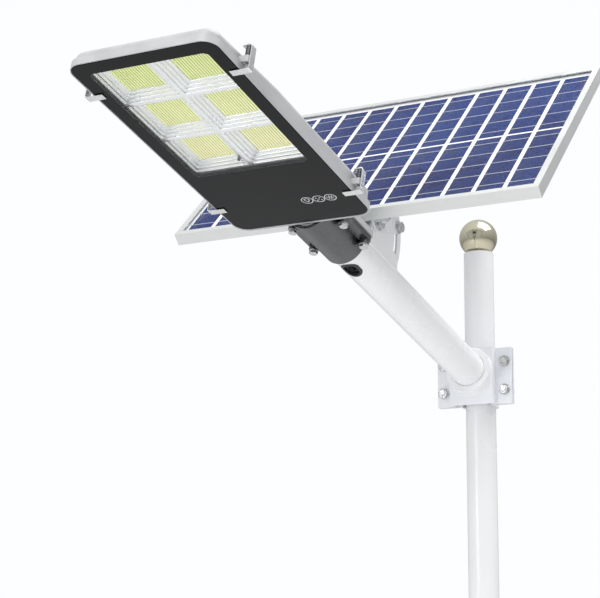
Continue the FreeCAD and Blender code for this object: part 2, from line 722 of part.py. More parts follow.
def make_panel_back():
    """Flat bars, their bolts, the junction box with its lid and gland."""
    under = d.panel_back - d.bar_thick
    low, long = -d.panel_low, d.panel_wide
    bolts, nuts = [], []
    for label, side in (("back_bar_left", -1), ("back_bar_right", 1)):
        x = side * d.bar_x
        bar = block(d.bar_wide, long, d.bar_thick, (x, long / 2 + low, under))
        rail_bolts = [low + d.rail_bolt, long + low - d.rail_bolt]
        ear_bolts = [d.ear_bolt_low, d.ear_bolt_high]
        holes = [cylinder(M6_HOLE, 20, (x, y, under - 5)) for y in rail_bolts + ear_bolts]
        node(label, cut(bar, *holes), in_panel_frame)
        for places, seat, top in ((rail_bolts, under, d.panel_back + d.frame_wall),
                                  (ear_bolts, under - d.ear_plate, d.panel_back)):
            for y in places:
                bolts.append(hex_bolt(M6, 13, (x, y, seat), ALONG_MINUS_Z))
                nuts.append(hex_nut(M6, (x, y, top), None))
    node("bar_bolts", group(*bolts), in_panel_frame)
    node("bar_nuts", group(*nuts), in_panel_frame)
    backsheet = d.panel_back + d.frame_depth - d.lip_thick - 0.1 - d.glass_thick - d.sheet_film * 2
    floor = backsheet - d.box_deep
    entry_level = floor + d.box_deep / 2
    half_x, half_y, skin, along = d.box_half_x, d.box_half_y, d.box_skin, d.box_along
    body = new_body("junction_box")
    outline = rounded(-half_x, along - half_y, half_x, along + half_y, 5)
    inside = rounded(skin - half_x, along - half_y + skin, half_x - skin, along + half_y - skin, 3)
    pad(body, sketch_on(body, "XY_Plane", floor, [outline]), d.box_deep)
    pocket(body, sketch_on(body, "XY_Plane", floor, [inside]), d.box_deep - 2, reverse=True)
    entry = sketch_on(body, "XZ_Plane", 20 - along, circles=[(0, entry_level, 4.1)])
    pocket(body, entry, 20, reverse=True)
    node("junction_box", body, in_panel_frame)
    lid = new_body("junction_lid")
    pad(lid, sketch_on(lid, "XY_Plane", floor - skin, [outline]), skin)
    node("junction_lid", lid, in_panel_frame)
    at = (0, along - half_y, entry_level)
    gland = cut(fuse(prism(13, 5, at, ALONG_MINUS_Y), cylinder(5, 11, at, ALONG_MINUS_Y),
                     cylinder(4, 8, (0, along - 20, entry_level), ALONG_MINUS_Y)),
                cylinder(2.2, 30, (0, along - 15, entry_level), ALONG_MINUS_Y))
    node("junction_gland", gland, in_panel_frame)


# ---------------------------------------------------------------- tie cord
TIE_ROUTE = [(57.0, -428.38, 951.64), (57.0, -425.2, 948.23), (56.0, -424.3, 942.2),
             (54.0, -424.0, 935.2), (50.2, -423.8, 929.8), (44.6, -423.6, 927.2)]
TIE_RADIUS = 0.5
KNOT_WIDE = 2.8
KNOT_LONG = 2.6


def make_tie_cord():
    """A thin cord that hangs from the lower rail: straight runs joined by tangent arcs,
    with a knot on its end."""
    points = [Vector(*p) for p in TIE_ROUTE]
    edges, start = [], points[0]
    for before, corner, after in zip(points, points[1:], points[2:]):
        back, on = (before - corner), (after - corner)
        turn = math.pi - back.getAngle(on)
        radius = 0.45 * min(back.Length, on.Length) / math.tan(turn / 2)
        reach = radius * math.tan(turn / 2)
        back.normalize()
        on.normalize()
        first, last = corner + back * reach, corner + on * reach
        bisector = (back + on).normalize()
        middle = corner + bisector * (radius / math.cos(turn / 2) - radius)
        edges += [Part.LineSegment(start, first).toShape(), Part.Arc(first, middle, last).toShape()]
        start = last
    edges.append(Part.LineSegment(start, points[-1]).toShape())
    path = Part.Wire(edges)
    ring = Part.Wire([Part.Circle(points[0], points[1] - points[0], TIE_RADIUS).toShape()])
    cord = doc.addObject("Part::Feature", "tie_cord")
    cord.Shape = path.makePipeShell([ring], True, False)
    node("tie_cord", cord)
    knot = doc.addObject("Part::Prism", "knot")
    knot.Polygon = 8
    knot.Circumradius = KNOT_WIDE / 2
    knot.Height = KNOT_LONG
    node("tie_knot", move(knot, TIE_ROUTE[-1], Rotation(Vector(0, 0, 1), points[-1] - points[-2])))


# ---------------------------------------------------------------- lamp head
def head_outline(half, inset):
    """The head's rounded outline, drawn in by an inset."""
    back, front = -d.head_back - inset, -d.head_back - d.head_long + inset
    return rounded(-half, front, half, back, d.head_corner - inset)


def make_housing():
    """The die-cast shell: rim, tray, battery hump, clip lugs and the neck over the arm."""
    body = new_body("housing")
    half = d.head_half
    pad(body, sketch_on(body, "XY_Plane", d.head_low, [head_outline(half, 0)]), d.rim_top - d.head_low)
    tray = sketch_on(body, "XY_Plane", d.rim_top, [head_outline(half - d.tray_inset, d.tray_inset)])
    pad(body, tray, d.tray_top - d.rim_top)
    nose, tail = -d.head_back - d.head_long, -d.head_back - d.hump_long
    slope = [(nose - 1, d.tray_nose), (tail, d.tray_top), (tail, d.tray_top + 1),
             (nose - 1, d.tray_top + 1)]
    pocket(body, sketch_on(body, "YZ_Plane", -d.head_half, [slope]), d.head_half * 2, reverse=True)
    fillet(body, d.tray_round.value, lambda edge: edge.BoundBox.ZMin > d.tray_nose.value - 1)
    hump = rounded(-d.hump_half, -d.head_back - d.hump_long, d.hump_half,
                   -d.head_back - d.hump_clear, d.hump_corner)
    pad(body, sketch_on(body, "XY_Plane", 0, [hump]), d.hump_top)
    fillet(body, d.hump_round.value, lambda edge: edge.BoundBox.ZMin > d.hump_top.value - 0.01)
    # neck: a half shell over the arm with a flange on each side
    outer = d.neck_dia / 2
    arch = [(-outer, 0, (0, 0), "right"), (0, outer, (0, 0), "right"), (outer, 0)]
    neck = sketch_on(body, "XZ_Plane", d.neck_back, [arch])
    pad(body, neck, d.head_back + d.neck_inside - d.neck_back)
    edge = d.saddle_bolt_x + 9
    wing = rounded(-edge, -d.saddle_bolt_front - 11, edge, -d.neck_back - 3, 8)
    pad(body, sketch_on(body, "XY_Plane", 0, [wing]), d.wing_thick)
    side_face = outer + d.neck_rib
    rib = rectangle(-side_face, -d.saddle_bolt_front + 12, side_face, -d.saddle_bolt_back - 12)
    pad(body, sketch_on(body, "XY_Plane", 0, [rib]), d.neck_rib_high)
    # clip lugs on the long edges
    for side in (-1, 1):
        for along in (d.clip_back, d.clip_front):
            near = side * (half - d.tray_inset)
            far, end = side * d.clip_x, side * d.lug_end
            ends = [(near, -along - end), (far, -along - end, (far, -along), "left"),
                    (far + end, -along, (far, -along), "left"), (far, -along + end),
                    (near, -along + end)]
            # the lug bridges from the rim, so it starts inside the rim's height
            lug = sketch_on(body, "XY_Plane", d.lug_low, [ends], [(far, -along, 1.9)])
            pad(body, lug, d.lug_thick)
    # rebate for gasket and glass, then the cavity and the battery space
    gap = d.glass_play
    seat = d.glass_half + gap
    glass_back = -d.head_back - d.glass_inset
    rebate = rounded(-seat, glass_back - d.glass_long - gap, seat, glass_back + gap,
                     d.glass_corner + gap)
    depth = d.glass_face + d.cover_thick + d.gasket_thick - d.head_low
    pocket(body, sketch_on(body, "XY_Plane", d.head_low, [rebate]), depth, reverse=True)
    cavity = head_outline(half - d.cavity_wall, d.cavity_wall)
    pocket(body, sketch_on(body, "XY_Plane", d.head_low, [cavity]),
           d.tray_ceiling - d.head_low, reverse=True)
    room = d.space_wall
    space = rounded(room - d.hump_half, -d.head_back - d.hump_long + room, d.hump_half - room,
                    -d.head_back - d.hump_clear - room, 10)
    pocket(body, sketch_on(body, "XY_Plane", d.tray_ceiling - 1, [space]),
           d.hump_top - d.wall - d.tray_ceiling, reverse=True)
    # bore for the arm, bolt holes, cable way and the recess in each side of the neck
    bore = d.arm_dia / 2 + d.neck_play
    pocket(body, sketch_on(body, "XZ_Plane", d.neck_back - 5, circles=[(0, 0, bore)]),
           d.head_back - d.neck_back + 4, reverse=True)
    pocket(body, sketch_on(body, "XZ_Plane", d.head_back - 8, circles=[(0, 4, 8)]), 40, reverse=True)
    holes = [(side * d.saddle_bolt_x, -along, d.saddle_bolt_hole) for side in (-1, 1)
             for along in (d.saddle_bolt_back, d.saddle_bolt_front)]
    pocket(body, sketch_on(body, "XY_Plane", 0, circles=holes), 7, reverse=True)
    middle = (d.saddle_bolt_back + d.saddle_bolt_front) / 2
    half, up, rise = d.diamond_half, d.diamond_up, d.diamond_rise
    diamond = [(-middle - half, up), (-middle, up - rise), (-middle + half, up),
               (-middle, up + rise)]
    for side in (-1, 1):
        level = side * side_face
        pocket(body, sketch_on(body, "YZ_Plane", level, [diamond]), 3, reverse=side < 0)
    node("lamp_housing", body, in_arm_frame)


def make_saddle():
    """The lower half of the neck clamp with four bolt bosses."""
    body = new_body("saddle")
    inner, outer = d.arm_dia / 2 + d.neck_play, d.saddle_dia / 2
    gap = -1.0
    start, finish = d.neck_back, d.head_back - 2
    arch = [(-outer, 0, (0, 0), "left"), (0, -outer, (0, 0), "left"), (outer, 0)]
    pad(body, sketch_on(body, "XZ_Plane", start, [arch]), finish - start)
    edge = d.saddle_bolt_x + 7
    wing = rounded(-edge, -d.saddle_bolt_front - 10, edge, -d.neck_back - 4, 7)
    pad(body, sketch_on(body, "XY_Plane", gap - d.saddle_wing, [wing]), d.saddle_wing)
    places = [(side * d.saddle_bolt_x, -along) for side in (-1, 1)
              for along in (d.saddle_bolt_back, d.saddle_bolt_front)]
    for place in places:
        boss = sketch_on(body, "XY_Plane", gap - d.saddle_drop, circles=[(*place, d.saddle_boss)])
        pad(body, boss, d.saddle_drop - 1)
    pocket(body, sketch_on(body, "XZ_Plane", start - 5, circles=[(0, 0, inner)]),
           finish - start + 10, reverse=True)
    top = rectangle(-outer - 20, -finish - 5, outer + 20, -start + 5)
    pocket(body, sketch_on(body, "XY_Plane", gap, [top]), 20, reverse=True)
    holes = [(*place, d.saddle_bolt_hole) for place in places]
    pocket(body, sketch_on(body, "XY_Plane", 0, circles=holes))
    node("neck_saddle", body, in_arm_frame)
    bolts, washers = [], []
    for x, y in places:
        seat = gap - d.saddle_drop
        bolts.append(hex_bolt(M6, 18, (x, y, seat - M6["washer"]), ALONG_MINUS_Z))
        washers.append(washer(M6, 12, (x, y, seat), ALONG_MINUS_Z))
    node("saddle_bolts", group(*bolts), in_arm_frame)
    node("saddle_washers", group(*washers), in_arm_frame)


def glass_outline(inset):
    half = d.glass_half - inset
    back = -d.head_back - d.glass_inset - inset
    front = back - d.glass_long + inset * 2
    return rounded(-half, front, half, back, d.glass_corner - inset)


def make_cover():
    """The glass cover and the gasket that it presses on."""
    cover = new_body("cover")
    pad(cover, sketch_on(cover, "XY_Plane", d.glass_face, [glass_outline(0)]), d.cover_thick)
    node("glass_cover", cover, in_arm_frame)
    seal = new_body("seal")
    level = d.glass_face + d.cover_thick
    ring = sketch_on(seal, "XY_Plane", level, [glass_outline(1), glass_outline(8)])
    pad(seal, ring, d.gasket_thick)
    node("glass_gasket", seal, in_arm_frame)


def fields():
    """The centres of the six lamp fields."""
    return [(column * d.field_pitch_x, -d.field_centre + row * d.field_pitch_y)
            for column in (-0.5, 0.5) for row in (-1, 0, 1)]


def make_light_source():
    """The stepped reflector, six boards and six rows of chips, and the light sensor."""
    body = new_body("reflector")
    low, high = d.reflector_low, d.reflector_high
    half_x = d.field_pitch_x - 1
    half_y = d.field_pitch_y * 1.5
    block_outline = rounded(-half_x, -d.field_centre - half_y, half_x, -d.field_centre + half_y, 6)
    pad(body, sketch_on(body, "XY_Plane", low, [block_outline]), high - low)
    steps = 4
    rise = (high - low) / steps
    for step in range(steps):
        share = step / (steps - 1)
        opening = d.field_open * (1 - share) + d.field_led * share
        squares = [rectangle(x - opening / 2, y - opening / 2, x + opening / 2, y + opening / 2)
                   for x, y in fields()]
        pocket(body, sketch_on(body, "XY_Plane", low, squares), rise * (step + 1), reverse=True)
    x, y = fields()[2]
    corner = d.field_led / 2 + 2.5
    hole = (x + corner, y + corner, d.sensor_dia / 2 + 0.1)
    window = sketch_on(body, "XY_Plane", 0, circles=[hole])
    pocket(body, window)
    node("reflector", body, in_arm_frame)
    wide = d.field_led + 20
    boards = [block(wide, wide, d.board_thick, (x, y, high + 0.1)) for x, y in fields()]
    node("led_boards", group(*boards), in_arm_frame)
    sensor = cylinder(d.sensor_dia / 2, 6, (x + corner, y + corner, high - 8.5))
    node("light_sensor", sensor, in_arm_frame)


def make_battery():
    """Cells in two rows inside the hump, their cradle, and the charge controller."""
    radius, level = d.battery_dia / 2, d.battery_level
    columns = [place * d.battery_pitch for place in (-1.5, -0.5, 0.5, 1.5)]
    cells = [cylinder(radius, d.battery_long, (x, -start, level), ALONG_MINUS_Y)
             for start in (560, 630) for x in columns]
    node("battery_cells", group(*cells), in_arm_frame)
    troughs = [cylinder(radius + 0.2, 138, (x, -559, level), ALONG_MINUS_Y) for x in columns]
    node("battery_cradle", cut(box(112, 207, 14, (-56, -765, 3)), *troughs), in_arm_frame)
    board = box(100, 60, d.board_thick, (-50, -764, d.board_level))
    node("controller_board", board, in_arm_frame)
    top = d.board_level + d.board_thick
    chips = [box(16, 12, 8, (-40, -755, top)), box(10, 10, 9, (-8, -749, top)),
             cylinder(6, 11, (28, -735, top)), cylinder(6, 11, (12, -753, top))]
    node("controller_parts", group(*chips), in_arm_frame)


CLIPS = (("clip_rear_left", -1, "clip_back"), ("clip_rear_right", 1, "clip_back"),
         ("clip_front_left", -1, "clip_front"), ("clip_front_right", 1, "clip_front"))


def make_clips():
    """Four bent strips that hook under the glass, each turning on its own screw."""
    sheet_t = d.clip_sheet
    screws, springs = [], []
    for label, side, place in CLIPS:
        along = getattr(d, place)
        hook_low, tab_low = d.clip_hook, d.clip_tab
        reach_in = side * (d.glass_half - 11)
        leg = side * (d.clip_x + d.clip_leg)
        leg_out = leg + side * sheet_t
        tab_in = side * (d.clip_x - d.clip_leg)
        strip = [(reach_in, hook_low), (leg_out, hook_low), (leg_out, tab_low + sheet_t),
                 (tab_in, tab_low + sheet_t), (tab_in, tab_low), (leg, tab_low),
                 (leg, hook_low + sheet_t), (reach_in, hook_low + sheet_t)]
        body = new_body("clip")
        pad(body, sketch_on(body, "XZ_Plane", along, [strip]), d.clip_wide, middle=True)
        pocket(body, sketch_on(body, "XY_Plane", tab_low - 1, circles=[(side * d.clip_x, -along, 2.4)]),
               8, reverse=True)
        node(label, body, in_arm_frame)
        centre = (side * d.clip_x, -along)
        head = (*centre, tab_low + sheet_t + 0.3)
        screws.append(fuse(cylinder(3.6, 2.6, head), cylinder(1.8, 19, (*centre, head[2] - 19))))
        springs.append(tube(3.8, 2.6, 11.4, (*centre, -7.8)))
    node("clip_screws", group(*screws), in_arm_frame)
    node("clip_springs", group(*springs), in_arm_frame)


# ---------------------------------------------------------------- build, test, write
def main():
    make_pole()
    make_clamp_front()
    make_clamp_rear()
    make_clamp_chocks()
    make_clamp_fasteners()
    make_arm()
    make_fan_plates()
    make_pivot()
    make_hangers()
    make_lock()
    make_panel_frame()
    make_laminate()
    make_panel_back()
    make_tie_cord()
    make_housing()
    make_saddle()
    make_cover()
    make_light_source()
    make_battery()
    make_clips()
    doc.recompute()
    for item in doc.Objects:
        if "Invalid" in item.State or "Error" in item.State:
            raise ValueError(f"{item.Label} failed: {item.State}")
    for item in NODES:
        if item.Shape.isNull() or not item.Shape.isValid():
            raise ValueError(f"{item.Label} has no valid shape")
    os.makedirs("parts", exist_ok=True)
    for item in NODES:
        item.Shape.exportStep(f"parts/{item.Label}.step")
        print(item.Label, len(item.Shape.Solids), round(item.Shape.Volume, 1))


main()
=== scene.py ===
import json
import math

import bmesh
import bpy
from bpy.props import FloatProperty, FloatVectorProperty, IntProperty, PointerProperty
from mathutils import Matrix, Vector


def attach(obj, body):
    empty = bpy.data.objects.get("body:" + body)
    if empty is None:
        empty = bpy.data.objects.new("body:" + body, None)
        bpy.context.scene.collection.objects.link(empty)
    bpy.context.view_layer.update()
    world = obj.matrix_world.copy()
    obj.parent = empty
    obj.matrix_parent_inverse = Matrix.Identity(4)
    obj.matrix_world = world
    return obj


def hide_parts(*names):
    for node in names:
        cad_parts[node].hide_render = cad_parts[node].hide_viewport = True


bl_info = {
    "name": "Solar street lamp",
    "version": (1, 0, 0),
    "blender": (4, 5, 0),
    "location": "View3D > Sidebar > Street lamp",
    "description": "Finishes and fine parts of a solar street lamp round its CAD frame",
    "category": "Add Mesh",
}

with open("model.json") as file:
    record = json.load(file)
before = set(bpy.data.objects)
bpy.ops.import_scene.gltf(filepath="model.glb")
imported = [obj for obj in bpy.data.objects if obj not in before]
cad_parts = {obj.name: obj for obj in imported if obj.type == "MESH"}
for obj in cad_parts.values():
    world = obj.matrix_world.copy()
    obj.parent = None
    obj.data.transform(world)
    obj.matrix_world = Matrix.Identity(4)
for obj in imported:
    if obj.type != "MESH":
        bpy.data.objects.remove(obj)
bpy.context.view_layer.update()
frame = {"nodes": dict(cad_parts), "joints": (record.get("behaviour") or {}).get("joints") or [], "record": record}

# ---------------------------------------------------------------- places
MM = 0.001
JOINTS = {joint["name"]: joint for joint in frame["joints"]}
PANEL_SLOPE = math.radians(43.0)


def arm_place():
    """The arm's own frame: x across, y back towards the pole, z square to the arm."""
    along = Vector(JOINTS["head_roll"]["axis"])
    slope = math.atan2(abs(along.z), abs(along.y))
    return Matrix.Translation(JOINTS["head_roll"]["pos_m"]) @ Matrix.Rotation(-slope, 4, "X")


def panel_place():
    """The panel's own frame at its tilt pivot: x across, y up the slope, z out of the glass."""
    return Matrix.Translation(JOINTS["panel_tilt"]["pos_m"]) @ Matrix.Rotation(PANEL_SLOPE, 4, "X")


UPRIGHT = Matrix.Identity(4)
ARM = arm_place()
PANEL = panel_place()


def box_of(points):
    low = Vector(min(p[i] for p in points) for i in range(3))
    high = Vector(max(p[i] for p in points) for i in range(3))
    return low, high


def middles(boxes, level):
    """The middle of each box, all set at one level."""
    return [((a.x + b.x) / 2, (a.y + b.y) / 2, level) for a, b in boxes]


def extent(node, place):
    """Lowest and highest corner of a CAD node, measured in one of the frames above."""
    back = place.inverted()
    return box_of([back @ v.co for v in frame["nodes"][node].data.vertices])


def solids(node, place):
    """The same corners for each separate solid of a CAD node, in a fixed order."""
    mesh = bmesh.new()
    mesh.from_mesh(frame["nodes"][node].data)
    bmesh.ops.remove_doubles(mesh, verts=mesh.verts, dist=1e-6)
    bmesh.ops.transform(mesh, matrix=place.inverted(), verts=mesh.verts)
    found, seen = [], set()
    for first in mesh.verts:
        if first in seen:
            continue
        group, stack = [], [first]
        seen.add(first)
        while stack:
            vert = stack.pop()
            group.append(vert.co.copy())
            for edge in vert.link_edges:
                other = edge.other_vert(vert)
                if other not in seen:
                    seen.add(other)
                    stack.append(other)
        found.append(box_of(group))
    mesh.free()
    return sorted(found, key=lambda corners: [round(c, 4) for c in (*corners[0], *corners[1])])


# ---------------------------------------------------------------- node networks
class Value:
    """A node's output that takes Python's arithmetic."""

    def __init__(self, network, socket):
        self.network = network
        self.socket = socket

    def maths(self, operation, *others):
        return self.network.maths(operation, self, *others)

    def __add__(self, other):
        return self.maths("ADD", other)

    __radd__ = __add__

    def __sub__(self, other):
        return self.maths("SUBTRACT", other)

    def __rsub__(self, other):
        return self.network.maths("SUBTRACT", other, self)

    def __mul__(self, other):
        return self.maths("MULTIPLY", other)

    __rmul__ = __mul__

    def __truediv__(self, other):
        return self.maths("DIVIDE", other)

    def __neg__(self):
        return self.maths("MULTIPLY", -1.0)


class Network:
    """A node tree, shader or geometry, built one call at a time."""

    def __init__(self, tree):
        self.tree = tree

    def node(self, kind, settings=None, inputs=None, output=0):
        """Add a node, set it up, fill or link its sockets and return one output."""
        made = self.tree.nodes.new(kind)
        for name, setting in (settings or {}).items():
            if name == "stops":
                for stop, (place, colour) in zip(made.color_ramp.elements, setting):
                    stop.position = place
                    stop.color = (*colour, 1.0)
            else:
                setattr(made, name, setting)
        for name, value in (inputs or {}).items():
            if isinstance(value, Value):
                self.tree.links.new(value.socket, made.inputs[name])
            else:
                made.inputs[name].default_value = value
        return Value(self, made.outputs[output]) if made.outputs else made

    def maths(self, operation, *values):
        return self.node("ShaderNodeMath", {"operation": operation}, dict(enumerate(values)))


class Finish(Network):
    """One material: a network that ends in a Principled shader."""

    def __init__(self, name, place=UPRIGHT):
        self.material = bpy.data.materials.new(name)
        self.material.use_nodes = True
        self.material.node_tree.nodes.clear()
        super().__init__(self.material.node_tree)
        spot = self.node("ShaderNodeTexCoord", output="Object")
        back = place.inverted()
        self.spot = self.node("ShaderNodeMapping", {}, {
            "Vector": spot, "Location": back.to_translation(), "Rotation": back.to_euler()})

    def axes(self):
        """The three coordinates in the material's own frame, in metres."""
        split = self.node("ShaderNodeSeparateXYZ", {}, {0: self.spot})
        return [Value(self, socket) for socket in split.socket.node.outputs]

    def stretched(self, scale):
        return self.node("ShaderNodeVectorMath", {"operation": "MULTIPLY"},
                         {0: self.spot, 1: scale})

    def noise(self, scale, detail=2.0, vector=None):
        return self.node("ShaderNodeTexNoise", {}, {
            "Vector": vector or self.spot, "Scale": scale, "Detail": detail})

    def between(self, value, low, high, first=0.0, last=1.0):
        """Map a value from one span to another, held at both ends."""
        return self.node("ShaderNodeMapRange", {"clamp": True}, {
            0: value, 1: low, 2: high, 3: first, 4: last})

    def spread(self, value, first=0.0, last=1.0):
        """Use the middle of a noise's range."""
        return self.between(value, 0.3, 0.7, first, last)

    def mix(self, share, first, second):
        """Blend two colours."""
        sides = {6: first, 7: second}
        sides = {k: c if isinstance(c, Value) else (*c, 1.0) for k, c in sides.items()}
        return self.node("ShaderNodeMix", {"data_type": "RGBA"}, {0: share, **sides}, 2)

    def bump(self, height, depth, strength=1.0):
        return self.node("ShaderNodeBump", {}, {
            "Height": height, "Distance": depth, "Strength": strength})

    def shade(self, colour, **sockets):
        """End the material in a Principled shader; socket names use _ for spaces."""
        inputs = {name.replace("_", " "): value for name, value in sockets.items()}
        inputs["Base Color"] = colour if isinstance(colour, Value) else (*colour, 1.0)
        surface = self.node("ShaderNodeBsdfPrincipled", {}, inputs)
        self.node("ShaderNodeOutputMaterial", {}, {"Surface": surface})
        return self.material


# ---------------------------------------------------------------- finishes
def tinted(colour, factor):
    return tuple(c * factor for c in colour)


def powder_coat(name, colour, rough=0.34, place=UPRIGHT, texture=850.0):
    """Sprayed and baked paint: orange peel, slow clouding and a few specks."""
    f = Finish(name, place)
    peel = f.noise(texture, 1.5)
    cloud = f.noise(9.0, 3.0)
    speck = f.between(f.noise(2400.0, 0.0), 0.7, 0.78)
    base = f.mix(f.between(cloud, 0.35, 0.7), colour, tinted(colour, 0.955))
    base = f.mix(speck * 0.35, base, tinted(colour, 0.8))
    return f.shade(base, Roughness=f.spread(cloud, rough - 0.05, rough + 0.06),
                   Normal=f.bump(peel, 0.00012, 0.5), Coat_Weight=0.25, Coat_Roughness=0.12)


def bright_zinc(name, colour, rough=0.27):
    """Zinc plate: faint spangle, blue and straw tints, fine handling marks."""
    f = Finish(name)
    cell = f.node("ShaderNodeTexVoronoi", {}, {"Vector": f.spot, "Scale": 420.0}, "Color")
    tone = f.node("ShaderNodeSeparateXYZ", {}, {0: cell})
    marks = f.noise(60.0, 4.0, f.stretched((14.0, 1.0, 9.0)))
    base = f.mix(tone, tinted(colour, 0.86), colour)
    base = f.mix(f.between(f.noise(45.0), 0.4, 0.7) * 0.3, base, (0.60, 0.58, 0.50))
    return f.shade(base, Metallic=1.0, Normal=f.bump(marks, 0.00005, 0.35),
                   Roughness=f.between(marks, 0.3, 0.75, rough - 0.08, rough + 0.14))


def cast_metal(name, colour, metallic, rough, place=ARM, grain=1500.0):
    """Die casting: fine grain, slow flow marks and darker pits."""
    f = Finish(name, place)
    fine = f.noise(grain, 3.0)
    flow = f.noise(26.0, 4.0, f.stretched((1.0, 0.35, 1.0)))
    pits = f.between(f.noise(grain * 0.6, 1.0), 0.68, 0.76)
    base = f.mix(f.between(flow, 0.35, 0.68), tinted(colour, 0.9), tinted(colour, 1.06))
    base = f.mix(pits * 0.4, base, tinted(colour, 0.62))
    return f.shade(base, Metallic=metallic, Normal=f.bump(fine - pits * 0.6, 0.0002, 0.55),
                   Roughness=f.spread(flow, rough - 0.06, rough + 0.08))


def polished_ball(name, colour):
    """Spun stainless steel, tinted champagne, with turning lines and light scuffs."""
    f = Finish(name)
    turning = f.noise(5.0, 3.0, f.stretched((1.0, 1.0, 420.0)))
    scuff = f.between(f.noise(130.0, 6.0, f.stretched((3.0, 1.0, 1.0))), 0.62, 0.8)
    base = f.mix(f.spread(f.noise(20.0)), tinted(colour, 0.94), colour)
    return f.shade(base, Metallic=1.0, Normal=f.bump(turning, 0.00002, 0.12),
                   Roughness=f.between(scuff, 0.0, 1.0, 0.085, 0.2))


def anodised(name, colour, lengthways):
    """Extruded aluminium: die lines along the rail under a satin anodised skin."""
    f = Finish(name, PANEL)
    run = (1.0, 70.0, 70.0) if lengthways else (70.0, 1.0, 70.0)
    lines = f.noise(22.0, 4.0, f.stretched(run))
    cloud = f.noise(16.0, 3.0)
    base = f.mix(f.spread(lines), tinted(colour, 0.93), colour)
    return f.shade(base, Metallic=0.85, Normal=f.bump(lines, 0.00006, 0.3),
                   Roughness=f.spread(cloud, 0.36, 0.48))


def moulded_plastic(name, colour, place=UPRIGHT, rough=0.5):
    """Spark-eroded mould texture with a slight sheen variation."""
    f = Finish(name, place)
    grain = f.noise(1900.0, 2.0)
    cloud = f.noise(38.0, 3.0)
    base = f.mix(f.between(cloud, 0.35, 0.7), colour, tinted(colour, 1.25))
    return f.shade(base, Normal=f.bump(grain, 0.0002, 0.6),
                   Roughness=f.spread(cloud, rough - 0.07, rough + 0.08))


def rounded_box(across, along, half, corner, middle):
    """Signed distance from a rounded rectangle, in metres, negative inside."""
    away = []
    for value, reach, centre in zip((across, along), half, middle):
        away.append((value - centre).maths("ABSOLUTE") - (reach - corner))
    outside = [a.maths("MAXIMUM", 0.0) for a in away]
    diagonal = (outside[0] * outside[0] + outside[1] * outside[1]).maths("SQRT")
    return diagonal + away[0].maths("MAXIMUM", away[1]).maths("MINIMUM", 0.0) - corner


def printed_glass(name, window_half, window_corner, middle, black):
    """Tempered cover glass: a fired black border round a clear window."""
    f = Finish(name, ARM)
    across, along, _ = f.axes()
    edge = rounded_box(across, along, window_half, window_corner, middle)
    border = f.between(edge, -0.00015, 0.00015)
    smear = f.noise(9.0, 4.0, f.stretched((1.0, 0.4, 1.0)))
    dust = f.between(f.noise(1300.0, 1.0), 0.66, 0.74)
    print_tone = f.mix(f.between(smear, 0.35, 0.7), black, tinted(black, 1.35))
    base = f.mix(border, (0.80, 0.86, 0.85), print_tone)
    return f.shade(base, Roughness=f.between(smear, 0.35, 0.75, 0.10, 0.19) + dust * 0.1,
                   Alpha=border * 0.93 + 0.07, Specular_IOR_Level=0.1, IOR=1.5,
                   Normal=f.bump(smear, 0.0002, 0.12))


def mirror_plastic(name):
    """Vacuum-metallised reflector: bright, slightly hazed, with moulding ripple."""
    f = Finish(name, ARM)
    ripple = f.noise(120.0, 2.0)
    haze = f.noise(30.0, 3.0)
    base = f.mix(f.spread(haze), (0.95, 0.96, 0.97), (0.88, 0.89, 0.91))
    return f.shade(base, Metallic=0.72, Normal=f.bump(ripple, 0.00005, 0.2),
                   Roughness=f.spread(haze, 0.2, 0.3))


def phosphor(name, warm, green, front_edge, rear_edge):
    """Silicone over yellow phosphor, a little greener towards the front of the lamp, with a faint painted glow in
    its own colour.
    """
    f = Finish(name, ARM)
    _, along, _ = f.axes()
    lot = f.node("ShaderNodeTexVoronoi", {}, {"Vector": f.spot, "Scale": 290.0}, "Color")
    tone = f.node("ShaderNodeSeparateXYZ", {}, {0: lot})
    base = f.mix(f.between(along, front_edge, rear_edge), green, warm)
    base = f.mix(tone * 0.25, base, tinted(warm, 0.86))
    # The weak emission is a painted glow: the chips and cases light themselves in their own colour.
    return f.shade(base, Roughness=f.spread(f.noise(900.0), 0.28, 0.42),
                   Emission_Color=base, Emission_Strength=0.22, Coat_Weight=0.4)


def silicon(name, indigo, blue, finger_pitch):
    """Polycrystalline silicon: angular grains and fine printed finger lines."""
    f = Finish(name, PANEL)
    across, _, _ = f.axes()
    warp = f.noise(40.0, 2.0, None)
    where = f.node("ShaderNodeMix", {"data_type": "VECTOR"}, {0: 0.015, 4: f.spot, 5: warp}, 1)
    grain = f.node("ShaderNodeTexVoronoi", {}, {"Vector": where, "Scale": 95.0}, "Color")
    tone = f.node("ShaderNodeSeparateXYZ", {}, {0: grain})
    small = f.node("ShaderNodeTexVoronoi", {}, {"Vector": where, "Scale": 260.0}, "Color")
    flake = f.node("ShaderNodeSeparateXYZ", {}, {0: small})
    drift = f.between(f.noise(3.2, 1.0), 0.35, 0.65)
    base = f.mix(drift, indigo, blue)
    base = f.mix(tone * 0.5, base, tinted(blue, 1.3))
    base = f.mix(flake * 0.25, base, tinted(indigo, 0.7))
    step = (across / finger_pitch).maths("FRACT")
    finger = f.between((step - 0.5).maths("ABSOLUTE"), 0.05, 0.09, 1.0, 0.0)
    base = f.mix(finger * 0.09, base, (0.42, 0.44, 0.52))
    return f.shade(base, Roughness=f.between(tone, 0.0, 1.0, 0.22, 0.38),
                   Specular_IOR_Level=0.06, Normal=f.bump(tone, 0.00008, 0.3))


